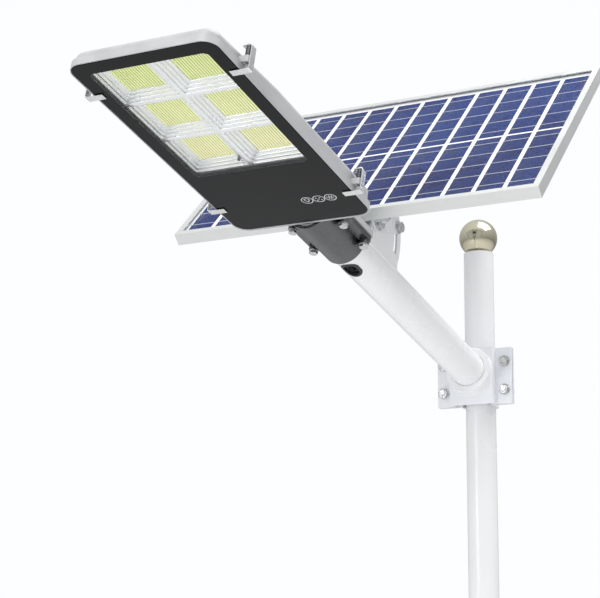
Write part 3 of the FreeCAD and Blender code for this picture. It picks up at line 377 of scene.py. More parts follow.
def panel_cover(name):
    """Low-iron front glass with a fine prismatic texture and a faint blue-grey painted reflection as its colour.
    """
    f = Finish(name, PANEL)
    pebble = f.node("ShaderNodeTexVoronoi", {}, {"Vector": f.spot, "Scale": 900.0})
    reflection_cloud = f.noise(7.0, 4.0)
    # The blue-grey base colour, seen faintly through the low alpha, is a painted reflection over the cells.
    base = f.mix(f.spread(reflection_cloud), (0.20, 0.28, 0.42), (0.30, 0.38, 0.52))
    return f.shade(base, Alpha=f.spread(reflection_cloud, 0.01, 0.03), IOR=1.5,
                   Roughness=f.spread(reflection_cloud, 0.12, 0.24),
                   Normal=f.bump(pebble, 0.00006, 0.25))


def woven_sheet(name, colour):
    """White laminate backing with a faint film texture."""
    f = Finish(name, PANEL)
    weave = f.noise(420.0, 1.0, f.stretched((1.0, 5.0, 1.0)))
    cloud = f.noise(11.0, 3.0)
    base = f.mix(f.spread(cloud), colour, tinted(colour, 0.94))
    return f.shade(base, Normal=f.bump(weave, 0.00015, 0.4),
                   Roughness=f.spread(cloud, 0.45, 0.6))


def solder_mask(name, colour, copper):
    """Circuit board: mask over a hint of copper tracks."""
    f = Finish(name, ARM)
    track = f.node("ShaderNodeTexVoronoi", {"distance": "MANHATTAN"}, {
        "Vector": f.spot, "Scale": 260.0})
    line = f.between(track, 0.25, 0.3)
    base = f.mix(line * 0.45, colour, copper)
    return f.shade(base, Roughness=f.spread(f.noise(300.0), 0.3, 0.42),
                   Normal=f.bump(line, 0.00004, 0.4))


def twisted_fibre(name, colour):
    """A thin twisted cord: slanting strands and loose fibres."""
    f = Finish(name)
    strand = f.noise(1500.0, 2.0, f.stretched((1.0, 1.0, 0.45)))
    base = f.mix(f.between(strand, 0.35, 0.65), tinted(colour, 0.72), colour)
    return f.shade(base, Roughness=f.spread(strand, 0.65, 0.85),
                   Normal=f.bump(strand, 0.0002, 0.8), Sheen_Weight=0.2)


# ---------------------------------------------------------------- mesh tools
SHARP = math.radians(32.0)
MERGE = 1e-7


def placed(name, data):
    """A new object in the scene that holds the data."""
    made = bpy.data.objects.new(name, data)
    bpy.context.scene.collection.objects.link(made)
    return made


def angles(count):
    """Equal turns round a circle."""
    return [math.tau * i / count for i in range(count)]


def round_at(radius, angle, *rest):
    """A point at an angle on a circle, with its height where one is given."""
    return (radius * math.cos(angle), radius * math.sin(angle), *rest)


def settle(name, mesh, place, material):
    """Turn a local mesh into an object at the origin with its place in its mesh."""
    mesh.transform(place)
    mesh.materials.clear()
    mesh.materials.append(material)
    mesh.shade_smooth()
    mesh.set_sharp_from_angle(angle=SHARP)
    mesh.update()
    return placed(name, mesh)


def mesh_from(rings, name, closed=True):
    """A mesh of joined rings of points; both ends are capped unless the stack is closed."""
    work = bmesh.new()
    loops = [[work.verts.new(point) for point in ring] for ring in rings]
    count = len(loops[0])
    pairs = list(zip(loops, loops[1:]))
    if closed:
        pairs.append((loops[-1], loops[0]))
    for first, second in pairs:
        for i in range(count):
            j = (i + 1) % count
            work.faces.new((first[i], first[j], second[j], second[i]))
    if not closed:
        work.faces.new(list(reversed(loops[0])))
        work.faces.new(loops[-1])
    bmesh.ops.remove_doubles(work, verts=work.verts, dist=MERGE)
    bmesh.ops.recalc_face_normals(work, faces=work.faces)
    mesh = bpy.data.meshes.new(name)
    work.to_mesh(mesh)
    work.free()
    return mesh


def lathe(profile, segments, name, closed=True):
    """A solid of revolution about z from (radius, height) points."""
    rings = [[round_at(radius, a, height) for a in angles(segments)] for radius, height in profile]
    return mesh_from(rings, name, closed)


def rounded_outline(half_x, low_y, high_y, corner, inset=0.0, steps=10):
    """The points of a rounded rectangle, drawn in by an inset, going round once."""
    radius = max(corner - inset, 0.0001)
    centres = ((half_x - corner, high_y - corner, 0), (corner - half_x, high_y - corner, 1),
               (corner - half_x, low_y + corner, 2), (half_x - corner, low_y + corner, 3))
    points = []
    for x, y, quarter in centres:
        for i in range(steps + 1):
            a = math.pi / 2 * (quarter + i / steps)
            points.append((x + radius * math.cos(a), y + radius * math.sin(a)))
    return points


def slab(name, half_x, low, high, corner, edge):
    """A rounded plate between two corners' heights with its edges ground off."""
    rings = []
    for inset, level in ((edge, low.z), (0.0, low.z + edge), (0.0, high.z - edge), (edge, high.z)):
        outline = rounded_outline(half_x, low.y, high.y, corner, inset)
        rings.append([(x, y, level) for x, y in outline])
    return mesh_from(rings, name, closed=False)


def swept(points, radius, sides, name, closed=True):
    """A round tube through points, carried along without twisting."""
    rings, count = [], len(points)
    side = None
    for i, point in enumerate(points):
        ahead = points[(i + 1) % count] if closed or i + 1 < count else point
        behind = points[i - 1] if closed or i else point
        along = (ahead - behind).normalized()
        side = along.orthogonal() if side is None else side - along * side.dot(along)
        side.normalize()
        other = along.cross(side)
        rings.append([point + (side * math.cos(a) + other * math.sin(a)) * radius
                      for a in angles(sides)])
    return mesh_from(rings, name, closed)


# ---------------------------------------------------------------- geometry nodes
class Pattern(Network):
    """A Geometry Nodes tree with named inputs that ends in real, finished geometry."""

    def __init__(self, name, inputs):
        self.group = bpy.data.node_groups.new(name, "GeometryNodeTree")
        super().__init__(self.group)
        new_socket = self.group.interface.new_socket
        new_socket("Geometry", in_out="OUTPUT", socket_type="NodeSocketGeometry")
        for title, kind in {"Geometry": "Geometry", **inputs, "Finish": "Material"}.items():
            new_socket(title, in_out="INPUT", socket_type="NodeSocket" + kind)
        self.source = self.tree.nodes.new("NodeGroupInput")

    def given(self, title):
        return Value(self, self.source.outputs[title])

    def copies(self, points, part, **turn):
        """The part set at every one of the points."""
        return self.node("GeometryNodeInstanceOnPoints", {}, {
            "Points": points, "Instance": part, **turn})

    def turned(self):
        """The turn that each loose point carries."""
        turn = self.node("GeometryNodeInputNamedAttribute", {"data_type": "FLOAT_VECTOR"},
                         {"Name": "turn"})
        return self.node("FunctionNodeEulerToRotation", {}, {0: turn})

    def finish(self, geometry):
        real = self.node("GeometryNodeRealizeInstances", {}, {0: geometry})
        painted = self.node("GeometryNodeSetMaterial", {}, {
            0: real, "Material": self.given("Finish")})
        self.node("NodeGroupOutput", {}, {0: painted})
        return self

    def bake(self, name, mesh, place, material, **values):
        """Run the tree on a mesh and return the result as one plain mesh piece."""
        holder = placed(name, mesh)
        modifier = holder.modifiers.new("pattern", "NODES")
        modifier.node_group = self.group
        values["Finish"] = material
        for socket in self.group.interface.items_tree:
            title = socket.name.replace(" ", "_")
            if socket.in_out == "INPUT" and title in values:
                modifier[socket.identifier] = values[title]
        graph = bpy.context.evaluated_depsgraph_get()
        made = bpy.data.meshes.new_from_object(holder.evaluated_get(graph), depsgraph=graph)
        holder.modifiers.clear()
        bpy.data.objects.remove(holder)
        return settle(name, made, place, material)


def dots(name, places, turns=None):
    """A mesh of loose points, each with the turn that its copy takes."""
    mesh = bpy.data.meshes.new(name)
    mesh.from_pydata([tuple(p) for p in places], [], [])
    turn = mesh.attributes.new("turn", "FLOAT_VECTOR", "POINT")
    for i, value in enumerate(turns or [(0.0, 0.0, 0.0)] * len(places)):
        turn.data[i].vector = value
    return mesh


def copies_pattern():
    """One part set at every point of a mesh, turned as the point says."""
    p = Pattern("copies", {"Part": "Object"})
    part = p.node("GeometryNodeObjectInfo", {}, {"Object": p.given("Part")}, "Geometry")
    return p.finish(p.copies(p.given("Geometry"), part, Rotation=p.turned()))


def grid_pattern():
    """A grid of small bevelled blocks at every point of a mesh."""
    p = Pattern("block_grid", {
        "Columns": "Int", "Rows": "Int", "Pitch X": "Float", "Pitch Y": "Float",
        "Block": "Vector", "Facing": "Vector", "Crown": "Float", "Waist": "Float"})
    span_x = (p.given("Columns") - 1.0) * p.given("Pitch X")
    span_y = (p.given("Rows") - 1.0) * p.given("Pitch Y")
    grid = p.node("GeometryNodeMeshGrid", {}, {
        "Size X": span_x, "Size Y": span_y,
        "Vertices X": p.given("Columns"), "Vertices Y": p.given("Rows")})
    cube = p.node("GeometryNodeMeshCube", {}, {"Size": p.given("Block")})
    top = p.node("GeometryNodeInputNormal")
    facing = p.node("FunctionNodeCompare", {
        "data_type": "VECTOR", "mode": "DOT_PRODUCT", "operation": "GREATER_THAN"}, {
        4: top, 5: p.given("Facing"), "C": 0.9})
    drawn = p.node("GeometryNodeExtrudeMesh", {}, {
        "Mesh": cube, "Selection": facing, "Offset Scale": p.given("Crown")})
    top_faces = Value(p, drawn.socket.node.outputs["Top"])
    waisted = p.node("GeometryNodeScaleElements", {}, {
        "Geometry": drawn, "Selection": top_faces, "Scale": p.given("Waist")})
    return p.finish(p.copies(p.given("Geometry"), p.copies(grid, waisted)))


def coil_pattern():
    """A wound wire spring standing on every point of a mesh."""
    p = Pattern("coil_springs", dict.fromkeys(("Turns", "Radius", "Height", "Wire"), "Float"))
    line = p.node("GeometryNodeCurveSpiral", {}, {
        "Resolution": 20, "Rotations": p.given("Turns"), "Start Radius": p.given("Radius"),
        "End Radius": p.given("Radius"), "Height": p.given("Height")})
    wire = p.node("GeometryNodeCurvePrimitiveCircle", {}, {
        "Resolution": 8, "Radius": p.given("Wire")})
    spring = p.node("GeometryNodeCurveToMesh", {}, {
        "Curve": line, "Profile Curve": wire, "Fill Caps": True})
    return p.finish(p.copies(p.given("Geometry"), spring, Rotation=p.turned()))


def bead_pattern():
    """A rippled weld bead along the edges of a mesh."""
    p = Pattern("weld_beads", dict.fromkeys(("Size", "Ripple", "Pitch"), "Float"))
    line = p.node("GeometryNodeMeshToCurve", {}, {0: p.given("Geometry")})
    fine = p.node("GeometryNodeResampleCurve", {"mode": "LENGTH"}, {
        "Curve": line, "Length": p.given("Pitch") / 6.0})
    run = p.node("GeometryNodeSplineParameter", {}, {}, "Length")
    wave = (run / p.given("Pitch") * math.pi).maths("SINE").maths("ABSOLUTE")
    ring = p.node("GeometryNodeCurvePrimitiveCircle", {}, {
        "Resolution": 10, "Radius": p.given("Size")})
    bead = p.node("GeometryNodeCurveToMesh", {}, {
        "Curve": fine, "Profile Curve": ring, "Scale": wave * p.given("Ripple") + 1.0,
        "Fill Caps": True})
    return p.finish(bead)


# ---------------------------------------------------------------- what a user would change
def length(name, value, description):
    return FloatProperty(name=name, description=description, default=value, min=0.0,
                         precision=5, unit="LENGTH")


def count(name, value, description):
    return IntProperty(name=name, description=description, default=value, min=1)


def colour(name, value, description):
    return FloatVectorProperty(name=name, description=description, default=value, size=3,
                               subtype="COLOR", min=0.0, max=1.0)


class LampSizes(bpy.types.PropertyGroup):
    """Sizes of the fine parts, in metres."""
    window_wide: length("Window width", 0.1512, "Clear width of the cover glass")
    window_long: length("Window length", 0.2350, "Clear length of the cover glass")
    window_front: length("Window to front edge", 0.0200, "Black border ahead of the window")
    glass_corner: length("Glass corner", 0.0170, "Corner radius of the cover glass")
    glass_edge: length("Ground edge", 0.0006, "Chamfer ground on the cover glass")
    tray_mouth: length("Tray mouth", 0.0730, "Side of each reflector tray where it opens")
    tray_floor: length("Tray floor", 0.0500, "Side of each reflector tray at its board")
    chip_columns: count("Chip columns", 14, "Light chips across each field")
    chip_rows: count("Chip rows", 16, "Light chips along each field")
    field: length("Chip field", 0.0495, "Side of the square that the chips fill")
    busbars: count("Busbars", 5, "Ribbons across each row of cells")
    busbar_wide: length("Busbar width", 0.0014, "Width of one ribbon")
    finger_pitch: length("Finger pitch", 0.0021, "Spacing of the printed finger lines")
    spring_turns: FloatProperty(name="Spring turns", description="Turns of each clip spring",
                                default=7.0, min=1.0)
    spring_wire: length("Spring wire", 0.0011, "Diameter of the spring wire")
    weld_size: length("Weld size", 0.0017, "Radius of the weld beads")
    weld_pitch: length("Weld pitch", 0.0022, "Spacing of the ripples in a weld bead")


class LampColours(bpy.types.PropertyGroup):
    """Base colours of the finishes."""
    pole: colour("Pole", (0.86, 0.86, 0.87), "Powder coat on the pole")
    arm: colour("Arm", (0.92, 0.93, 0.94), "Gloss coat on the arm and its bracket")
    clamp: colour("Clamp", (0.86, 0.88, 0.92), "Powder coat on the pole clamp")
    head: colour("Lamp head", (0.43, 0.438, 0.446), "Coat on the lamp housing")
    saddle: colour("Saddle", (0.13, 0.136, 0.139), "Bare casting under the neck")
    zinc: colour("Zinc", (0.66, 0.68, 0.69), "Plated bolts, nuts and washers")
    ball: colour("Ball", (0.60, 0.57, 0.43), "Tinted steel of the finial ball")
    border: colour("Glass border", (0.007, 0.0073, 0.0082), "Fired print on the cover glass")
    warm_light: colour("Phosphor", (0.95, 0.90, 0.50), "Light chips near the pole")
    green_light: colour("Green phosphor", (0.74, 0.82, 0.22), "Light chips near the front")
    indigo: colour("Cell indigo", (0.010, 0.011, 0.066), "Darker tone of the cells")
    blue: colour("Cell blue", (0.011, 0.031, 0.150), "Lighter tone of the cells")
    rail: colour("Panel frame", (0.74, 0.76, 0.75), "Anodised frame rails")


class LampSettings(bpy.types.PropertyGroup):
    """Everything that the street lamp's operators read."""
    sizes: PointerProperty(type=LampSizes, name="Sizes", description="Sizes of the fine parts")
    colours: PointerProperty(type=LampColours, name="Colours", description="Base colours")


def sizes():
    return bpy.context.scene.street_lamp.sizes


def tints():
    return bpy.context.scene.street_lamp.colours


def coat(finish, *nodes):
    """Give CAD nodes a finish without touching their meshes."""
    for name in nodes:
        node = frame["nodes"][name]
        if not node.material_slots:
            node.data.materials.append(finish)
        for slot in node.material_slots:
            slot.material = finish


def fit(piece, body, slot, *nodes):
    """Say what a new piece rides on and hide the nodes that it stands for; slot is not used."""
    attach(piece, body)
    if nodes:
        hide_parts(*nodes)
    return piece


# ---------------------------------------------------------------- painted steel
class LAMP_OT_painted_steel(bpy.types.Operator):
    """Coat the pole, arm, bracket plates, clamp and panel hangers"""
    bl_idname = "lamp.painted_steel"
    bl_label = "Painted steel"

    def execute(self, context):
        c = tints()
        pole = powder_coat("pole_coat", c.pole, 0.30, texture=700.0)
        arm = powder_coat("arm_coat", c.arm, 0.27, ARM)
        clamp = powder_coat("clamp_coat", c.clamp, 0.36)
        coat(pole, "pole_tube", "pole_top_plug")
        coat(arm, "arm_tube", "arm_collar", "bracket_plate_left", "bracket_plate_right")
        coat(clamp, "clamp_front_plate", "clamp_rear_strap", "clamp_chocks",
             "panel_hanger_left", "panel_hanger_right")
        # The near-black grommet is partly its rubber and partly painted shade standing for the dark inside of the
        # cable hole.
        coat(moulded_plastic("grommet_rubber", (0.02, 0.02, 0.021), ARM), "cable_grommet")
        return {"FINISHED"}


class LAMP_OT_welds(bpy.types.Operator):
    """Run weld beads round the arm collar and along the feet of the bracket plates"""
    bl_idname = "lamp.welds"
    bl_label = "Weld beads"

    def execute(self, context):
        s = sizes()
        collar = extent("arm_collar", UPRIGHT)
        face = extent("clamp_front_plate", UPRIGHT)[0].y
        points, edges = [], []
        reach = (collar[1].x - collar[0].x) / 2
        slope = math.atan2(abs(ARM[1][2]), ARM[2][2])
        axis = ARM.to_3x3() @ Vector((0.0, 1.0, 0.0))
        centre = ARM.translation + axis * ((face - ARM.translation.y) / axis.y)
        turn, tall, from_end, proud = 96, reach / math.cos(slope), 2 * MM, s.weld_size * 0.3
        for i, a in enumerate(angles(turn)):
            points.append((reach * math.cos(a), face, centre.z + tall * math.sin(a)))
            edges.append((i, (i + 1) % turn))
        tube = extent("arm_tube", ARM)
        radius = (tube[1].x - tube[0].x) / 2
        for name, side in (("bracket_plate_left", -1), ("bracket_plate_right", 1)):
            low, high = extent(name, ARM)
            across = max(abs(low.x), abs(high.x)) + proud
            level = math.sqrt(radius ** 2 - across ** 2) + proud
            ends = [ARM @ Vector((side * across, y, level))
                    for y in (low.y + from_end, high.y - from_end)]
            edges.append((len(points), len(points) + 1))
            points += ends
        mesh = bpy.data.meshes.new("weld_lines")
        mesh.from_pydata([tuple(p) for p in points], edges, [])
        beads = bead_pattern().bake(
            "weld_beads", mesh, UPRIGHT, powder_coat("weld_coat", tints().arm, 0.3, ARM),
            Size=s.weld_size, Ripple=0.16, Pitch=s.weld_pitch)
        fit(beads, "arm", "arm_paint")
        return {"FINISHED"}


# ---------------------------------------------------------------- finial
class LAMP_OT_finial(bpy.types.Operator):
    """Spin the finial ball: a thin shell with a rolled lip that stands on the pole"""
    bl_idname = "lamp.finial"
    bl_label = "Finial ball"

    def execute(self, context):
        low, high = extent("finial_ball", UPRIGHT)
        radius = (high.x - low.x) / 2
        middle = high.z - radius
        wall, lip = 1.8 * MM, 0.9 * MM
        start = math.asin((low.z + lip - middle) / radius)
        mouth = radius * math.cos(start)
        profile = [(mouth - wall, low.z), (mouth + lip * 0.3, low.z),
                   (mouth + lip * 0.7, low.z + lip * 0.5)]
        rows = 56
        climb = [start + (math.pi / 2 - start) * i / rows for i in range(rows + 1)]
        for reach, way in ((radius, climb), (radius - wall, climb[::-1])):
            profile += [(reach * math.cos(a), middle + reach * math.sin(a)) for a in way]
        shell = settle("finial_shell", lathe(profile, 112, "finial_shell"), UPRIGHT,
                       polished_ball("champagne_steel", tints().ball))
        fit(shell, "pole", "ball_steel", "finial_ball")
        coat(bright_zinc("stud_zinc", tints().zinc), "finial_stud")
        return {"FINISHED"}


# ---------------------------------------------------------------- fasteners
SEGMENTS = 48
CHAMFER = 0.94
THREAD_ROOT = 0.86
UNDER_HEAD = -0.01 * MM
CORNER_FALL = 0.55
FIRST_SPIN, NEXT_SPIN = 0.35, 0.8


def hexagon(radius_in, angle):
    """How far a hexagon's edge is from its centre at an angle."""
    return radius_in / math.cos((angle + math.pi / 6) % (math.pi / 3) - math.pi / 6)


def ring(radius, level, hexed=False, fall=0.0):
    """One ring of points: a circle, or a hexagon whose corners fall below the level."""
    points = []
    for a in angles(SEGMENTS):
        r = hexagon(radius, a) if hexed else radius
        z = level - (r - radius * CHAMFER) * fall if hexed else level
        points.append(round_at(r, a, z))
    return points


def thread(radius, start, finish, pitch):
    """Rings that ripple like a thread from one level down to another."""
    rings = [ring(radius, start)]
    level = start - pitch / 2
    deep = True
    while level > finish + pitch / 2:
        rings.append(ring(radius * THREAD_ROOT if deep else radius, level))
        deep = not deep
        level -= pitch / 2
    rings.append(ring(radius * 0.84, finish))
    return rings


def bolt(name, dia, flats, head, long):
    """A forged hex bolt, head up, its seat at z = 0."""
    flat = flats / 2
    rings = [ring(flat * 0.5, head - 0.0003), ring(flat * 0.62, head - 0.00025),
             ring(flat * 0.72, head), ring(flat * CHAMFER, head),
             ring(flat, head, True, CORNER_FALL), ring(flat, 0.0005, True, -0.2),
             ring(flat * 0.93, 0.0004), ring(flat * 0.93, 0.0)]
    return mesh_from(rings + thread(dia / 2, UNDER_HEAD, -long, dia * 0.156), name, closed=False)


def nut(name, dia, flats, height):
    """A hex nut, chamfered at both faces, standing on z = 0."""
    flat, bore = flats / 2, dia / 2 * 0.97
    rings = [ring(bore, height * 0.9), ring(bore * 1.1, height), ring(flat * 0.93, height),
             ring(flat, height, True, CORNER_FALL), ring(flat, 0.0, True, -CORNER_FALL),
             ring(flat * 0.93, 0.0),
             ring(bore * 1.1, 0.0), ring(bore, height * 0.1)]
    return mesh_from(rings, name)


def flat_ring(name, bore, outer, thick):
    """A stamped washer with one rolled edge and one sharp one."""
    roll = thick * 0.3
    profile = [(bore, roll * 0.4), (bore + roll * 0.4, 0.0), (outer - roll * 0.3, 0.0),
               (outer, roll * 0.4), (outer, thick - roll), (outer - roll * 0.3, thick - roll * 0.3),
               (outer - roll, thick), (bore + roll * 0.6, thick), (bore, thick - roll * 0.6)]
    return lathe(profile, SEGMENTS, name)


def pan_head(name, radius, head, shank, long):
    """A domed screw with a cross recess, its seat at z = 0."""
    rings = []
    for share in (0.08, 0.2, 0.34, 0.48, 0.56, 0.7, 0.86, 0.96, 1.0):
        points = []
        for a in angles(SEGMENTS):
            x, y = round_at(radius * share, a)
            z = head * math.sqrt(max(0.0, 1.0 - (share * 0.93) ** 2)) if share < 1 else head * 0.3
            if share < 0.5 and min(abs(x), abs(y)) < radius * 0.13:
                z -= head * 0.42
            points.append((x, y, z))
        rings.append(points)
    rings.append(ring(radius, 0.0))
    return mesh_from(rings + thread(shank, UNDER_HEAD, -long, shank * 0.4), name, closed=False)


X_OUT, X_IN = (1.0, 0.0, 0.0), (-1.0, 0.0, 0.0)
Y_BACK, Y_FRONT = (0.0, 1.0, 0.0), (0.0, -1.0, 0.0)
Z_UP, Z_DOWN = (0.0, 0.0, 1.0), (0.0, 0.0, -1.0)

# piece, node it stands for, body, frame, way out of the seat, kind, thread, flats, head
HEX_PARTS = (
    ("clamp_hex_bolts", "clamp_bolts", "arm", UPRIGHT, Y_FRONT, "bolt", 8, 13, 5.3),
    ("clamp_hex_nuts", "clamp_nuts", "arm", UPRIGHT, Y_BACK, "nut", 8, 13, 6.5),
    ("saddle_hex_bolts", "saddle_bolts", "head", ARM, Z_DOWN, "bolt", 6, 10, 4.0),
    ("pivot_hex_bolt", "pivot_bolt", "arm", ARM, X_OUT, "bolt", 8, 13, 5.3),
    ("pivot_hex_nut", "pivot_nut", "arm", ARM, X_IN, "nut", 8, 13, 6.5),
    ("lock_hex_bolt", "lock_bolt", "panel", PANEL, X_OUT, "bolt", 8, 13, 5.3),
    ("lock_hex_nut", "lock_nut", "panel", PANEL, X_IN, "nut", 8, 13, 6.5),
    ("bar_hex_bolts", "bar_bolts", "panel", PANEL, Z_DOWN, "bolt", 6, 10, 4.0),
    ("bar_hex_nuts", "bar_nuts", "panel", PANEL, Z_UP, "nut", 6, 10, 4.0),
)
# piece, node, body, frame, the washers' axis, bore
WASHERS = (
    ("clamp_rings", "clamp_washers", "arm", UPRIGHT, Y_FRONT, 8.4),
    ("saddle_rings", "saddle_washers", "head", ARM, Z_DOWN, 6.4),
    ("pivot_rings", "pivot_washers", "arm", ARM, X_OUT, 8.4),
    ("lock_rings", "lock_washers", "panel", PANEL, X_OUT, 8.4),
)


def seated(node, place, out, head):
    """Where each solid's seat is, how it is turned, and how far it reaches past its seat."""
    way = Vector(out)
    axis = max(range(3), key=lambda i: abs(way[i]))
    places, turns, reach = [], [], 0.0
    for i, (low, high) in enumerate(solids(node, place)):
        top, tip = (high, low) if way[axis] > 0 else (low, high)
        seat = (low + high) / 2
        seat[axis] = top[axis] - way[axis] * head
        spin = Matrix.Rotation(FIRST_SPIN + NEXT_SPIN * i, 3, "Z")
        turn = way.to_track_quat("Z", "Y").to_matrix() @ spin
        places.append(seat)
        turns.append(tuple(turn.to_euler()))
        reach = abs(seat[axis] - tip[axis])
    return places, turns, reach


def scatter(pattern, piece, unit_mesh, places, turns, place, material):
    """Set one part at each place and bake the lot to a plain mesh."""
    unit_mesh.shade_smooth()
    unit_mesh.set_sharp_from_angle(angle=SHARP)
    unit = placed(piece + "_unit", unit_mesh)
    made = pattern.bake(piece, dots(piece + "_dots", places, turns), place, material, Part=unit)
    bpy.data.objects.remove(unit)
    return made


class LAMP_OT_fasteners(bpy.types.Operator):
    """Make every hex bolt, nut, washer and clip screw with real heads and threads"""
    bl_idname = "lamp.fasteners"
    bl_label = "Fasteners"

    def execute(self, context):
        zinc = bright_zinc("zinc_plate", tints().zinc)
        pattern = copies_pattern()
        for piece, node, body, place, out, kind, dia, flats, head in HEX_PARTS:
            size = dia * MM, flats * MM, head * MM
            places, turns, reach = seated(node, place, out, head * MM)
            unit = bolt(piece, *size, reach) if kind == "bolt" else nut(piece, *size)
            fit(scatter(pattern, piece, unit, places, turns, place, zinc), body, "zinc", node)
        for piece, node, body, place, out, bore in WASHERS:
            low, high = solids(node, place)[0]
            span = sorted(high - low)
            places, turns, _ = seated(node, place, out, span[0])
            unit = flat_ring(piece, bore / 2 * MM, span[2] / 2, span[0])
            fit(scatter(pattern, piece, unit, places, turns, place, zinc), body, "zinc", node)
        low, high = solids("clip_screws", ARM)[0]
        head, shank = 2.6 * MM, 1.75 * MM
        places, turns, reach = seated("clip_screws", ARM, Z_UP, head)
        unit = pan_head("clip_pan_screws", (high.x - low.x) / 2, head, shank, reach)
        fit(scatter(pattern, "clip_pan_screws", unit, places, turns, ARM, zinc),
            "head", "zinc", "clip_screws")
        coat(bright_zinc("spacer_zinc", tints().zinc, 0.34), "pivot_spacer")
        return {"FINISHED"}


# ---------------------------------------------------------------- lamp head
class LAMP_OT_castings(bpy.types.Operator):
    """Coat the lamp housing and leave the saddle under its neck as bare casting"""
    bl_idname = "lamp.castings"
    bl_label = "Castings"

    def execute(self, context):
        c = tints()
        coat(cast_metal("head_coat", c.head, 0.0, 0.40, grain=1100.0), "lamp_housing")
        coat(cast_metal("bare_casting", c.saddle, 0.92, 0.26, grain=900.0), "neck_saddle")
        return {"FINISHED"}


def window_middle():
    """The centre of the clear window in the arm's frame."""
    low, high = extent("glass_cover", ARM)
    s = sizes()
    return (low.x + high.x) / 2, low.y + s.window_front + s.window_long / 2


class LAMP_OT_cover(bpy.types.Operator):
    """Grind and print the tempered cover glass and seat it on its gasket"""
    bl_idname = "lamp.cover"
    bl_label = "Cover glass"

    def execute(self, context):
        s = sizes()
        low, high = extent("glass_cover", ARM)
        half, corner = (s.window_wide / 2, s.window_long / 2), 7 * MM
        finish = printed_glass("printed_glass", half, corner, window_middle(), tints().border)
        sheet = slab("cover_sheet", high.x, low, high, s.glass_corner, s.glass_edge)
        fit(settle("cover_sheet", sheet, ARM, finish), "head", "cover_glass", "glass_cover")
        coat(moulded_plastic("seal_rubber", (0.022, 0.022, 0.023), ARM, 0.62), "glass_gasket")
        return {"FINISHED"}


def joined(name, meshes):
    """One mesh from several."""
    work = bmesh.new()
    for mesh in meshes:
        work.from_mesh(mesh)
        bpy.data.meshes.remove(mesh)
    whole = bpy.data.meshes.new(name)
    work.to_mesh(whole)
    work.free()
    return whole


def loop_of(shape, steps, middle):
    """Points of a closed outline given as a function of the angle."""
    return [middle + Vector((*shape(a), 0.0)) for a in angles(steps)]


class LAMP_OT_pictogram(bpy.types.Operator):
    """Print three plain signs on the border: rain, dust and sun"""
    bl_idname = "lamp.pictogram"
    bl_label = "Pictogram"

    def execute(self, context):
        low, high = extent("glass_cover", ARM)
        wide, long = high.x - low.x, high.y - low.y
        middle = Vector((low.x + wide * 0.745, low.y + long * 0.872, 0.0))
        radius, line, step = 7.2 * MM, 0.6 * MM, 15.8 * MM
        left, right = (middle + Vector((way * step, 0.0, 0.0)) for way in (-1, 1))
        lines = []

        def circle(at, size, steps, wire=line):
            path = loop_of(lambda a: round_at(size, a), steps, at)
            lines.append(swept(path, wire, 8, "sign"))

        for at in (left, middle, right):
            circle(at, radius, 48)
        drop = loop_of(lambda a: (radius * 0.62 * math.sin(a) * math.sin(a / 2) ** 1.5,
                                  radius * 0.58 * math.cos(a)), 40, left)
        lines.append(swept(drop, line, 8, "sign"))
        for x, y in ((-0.4, -0.3), (0.35, -0.38), (0.0, 0.05), (-0.35, 0.42), (0.42, 0.36)):
            circle(middle + Vector((x * radius, y * radius, 0.0)), line, 16, line * 0.8)
        circle(right, radius * 0.3, 32)
        for a in angles(8):
            way = Vector(round_at(radius, a, 0.0))
            ray = [right + way * share for share in (0.5, 0.62, 0.74)]
            lines.append(swept(ray, line * 0.9, 8, "sign", closed=False))
        print_thick = 0.2
        mesh = joined("rating_signs", lines)
        mesh.transform(Matrix.Translation((0, 0, low.z)) @ Matrix.Scale(print_thick, 4, (0, 0, 1)))
        ink = moulded_plastic("sign_ink", (0.52, 0.53, 0.55), ARM, 0.45)
        fit(settle("rating_signs", mesh, ARM, ink), "head", "cover_glass")
        return {"FINISHED"}


def reflector_tray(name, mouth, floor, low, high, pitch_x, pitch_y):
    """One square tray of the reflector: rounded steps that fall from its mouth to its floor."""
    steps, nose, skin = 4, 0.7 * MM, 0.6 * MM
    mouth_corner, tray_corner = 0.5 * MM, 2.2 * MM
    fall = (high - low) / steps
    face = [(None, low)]
    for step in range(steps):
        half = mouth + (floor - mouth) * step / (steps - 1)
        top = low + fall * step
        for turn in (0.0, 0.35, 0.7, 1.0):
            a = turn * math.pi / 2
            face.append((half + nose * (1 - math.sin(a)), top + nose * (1 - math.cos(a))))
        face.append((half - nose * 0.4, top + fall - nose * 0.5))
    face.append((floor - nose, high))
    back = [(floor - nose + skin, high)]
    for step in reversed(range(steps)):
        half = mouth + (floor - mouth) * step / (steps - 1) + nose + skin
        back.append((half, low + fall * (step + 1) - skin * 0.2))
        back.append((half, low + fall * step + skin))
    back.append((None, low + skin))
    rings = []
    for half, level in face + back:
        if half is None:
            outline = rounded_outline(pitch_x / 2, -pitch_y / 2, pitch_y / 2, mouth_corner)
        else:
            outline = rounded_outline(half, -half, half, tray_corner)
        rings.append([(x, y, level) for x, y in outline])
    return mesh_from(rings, name)


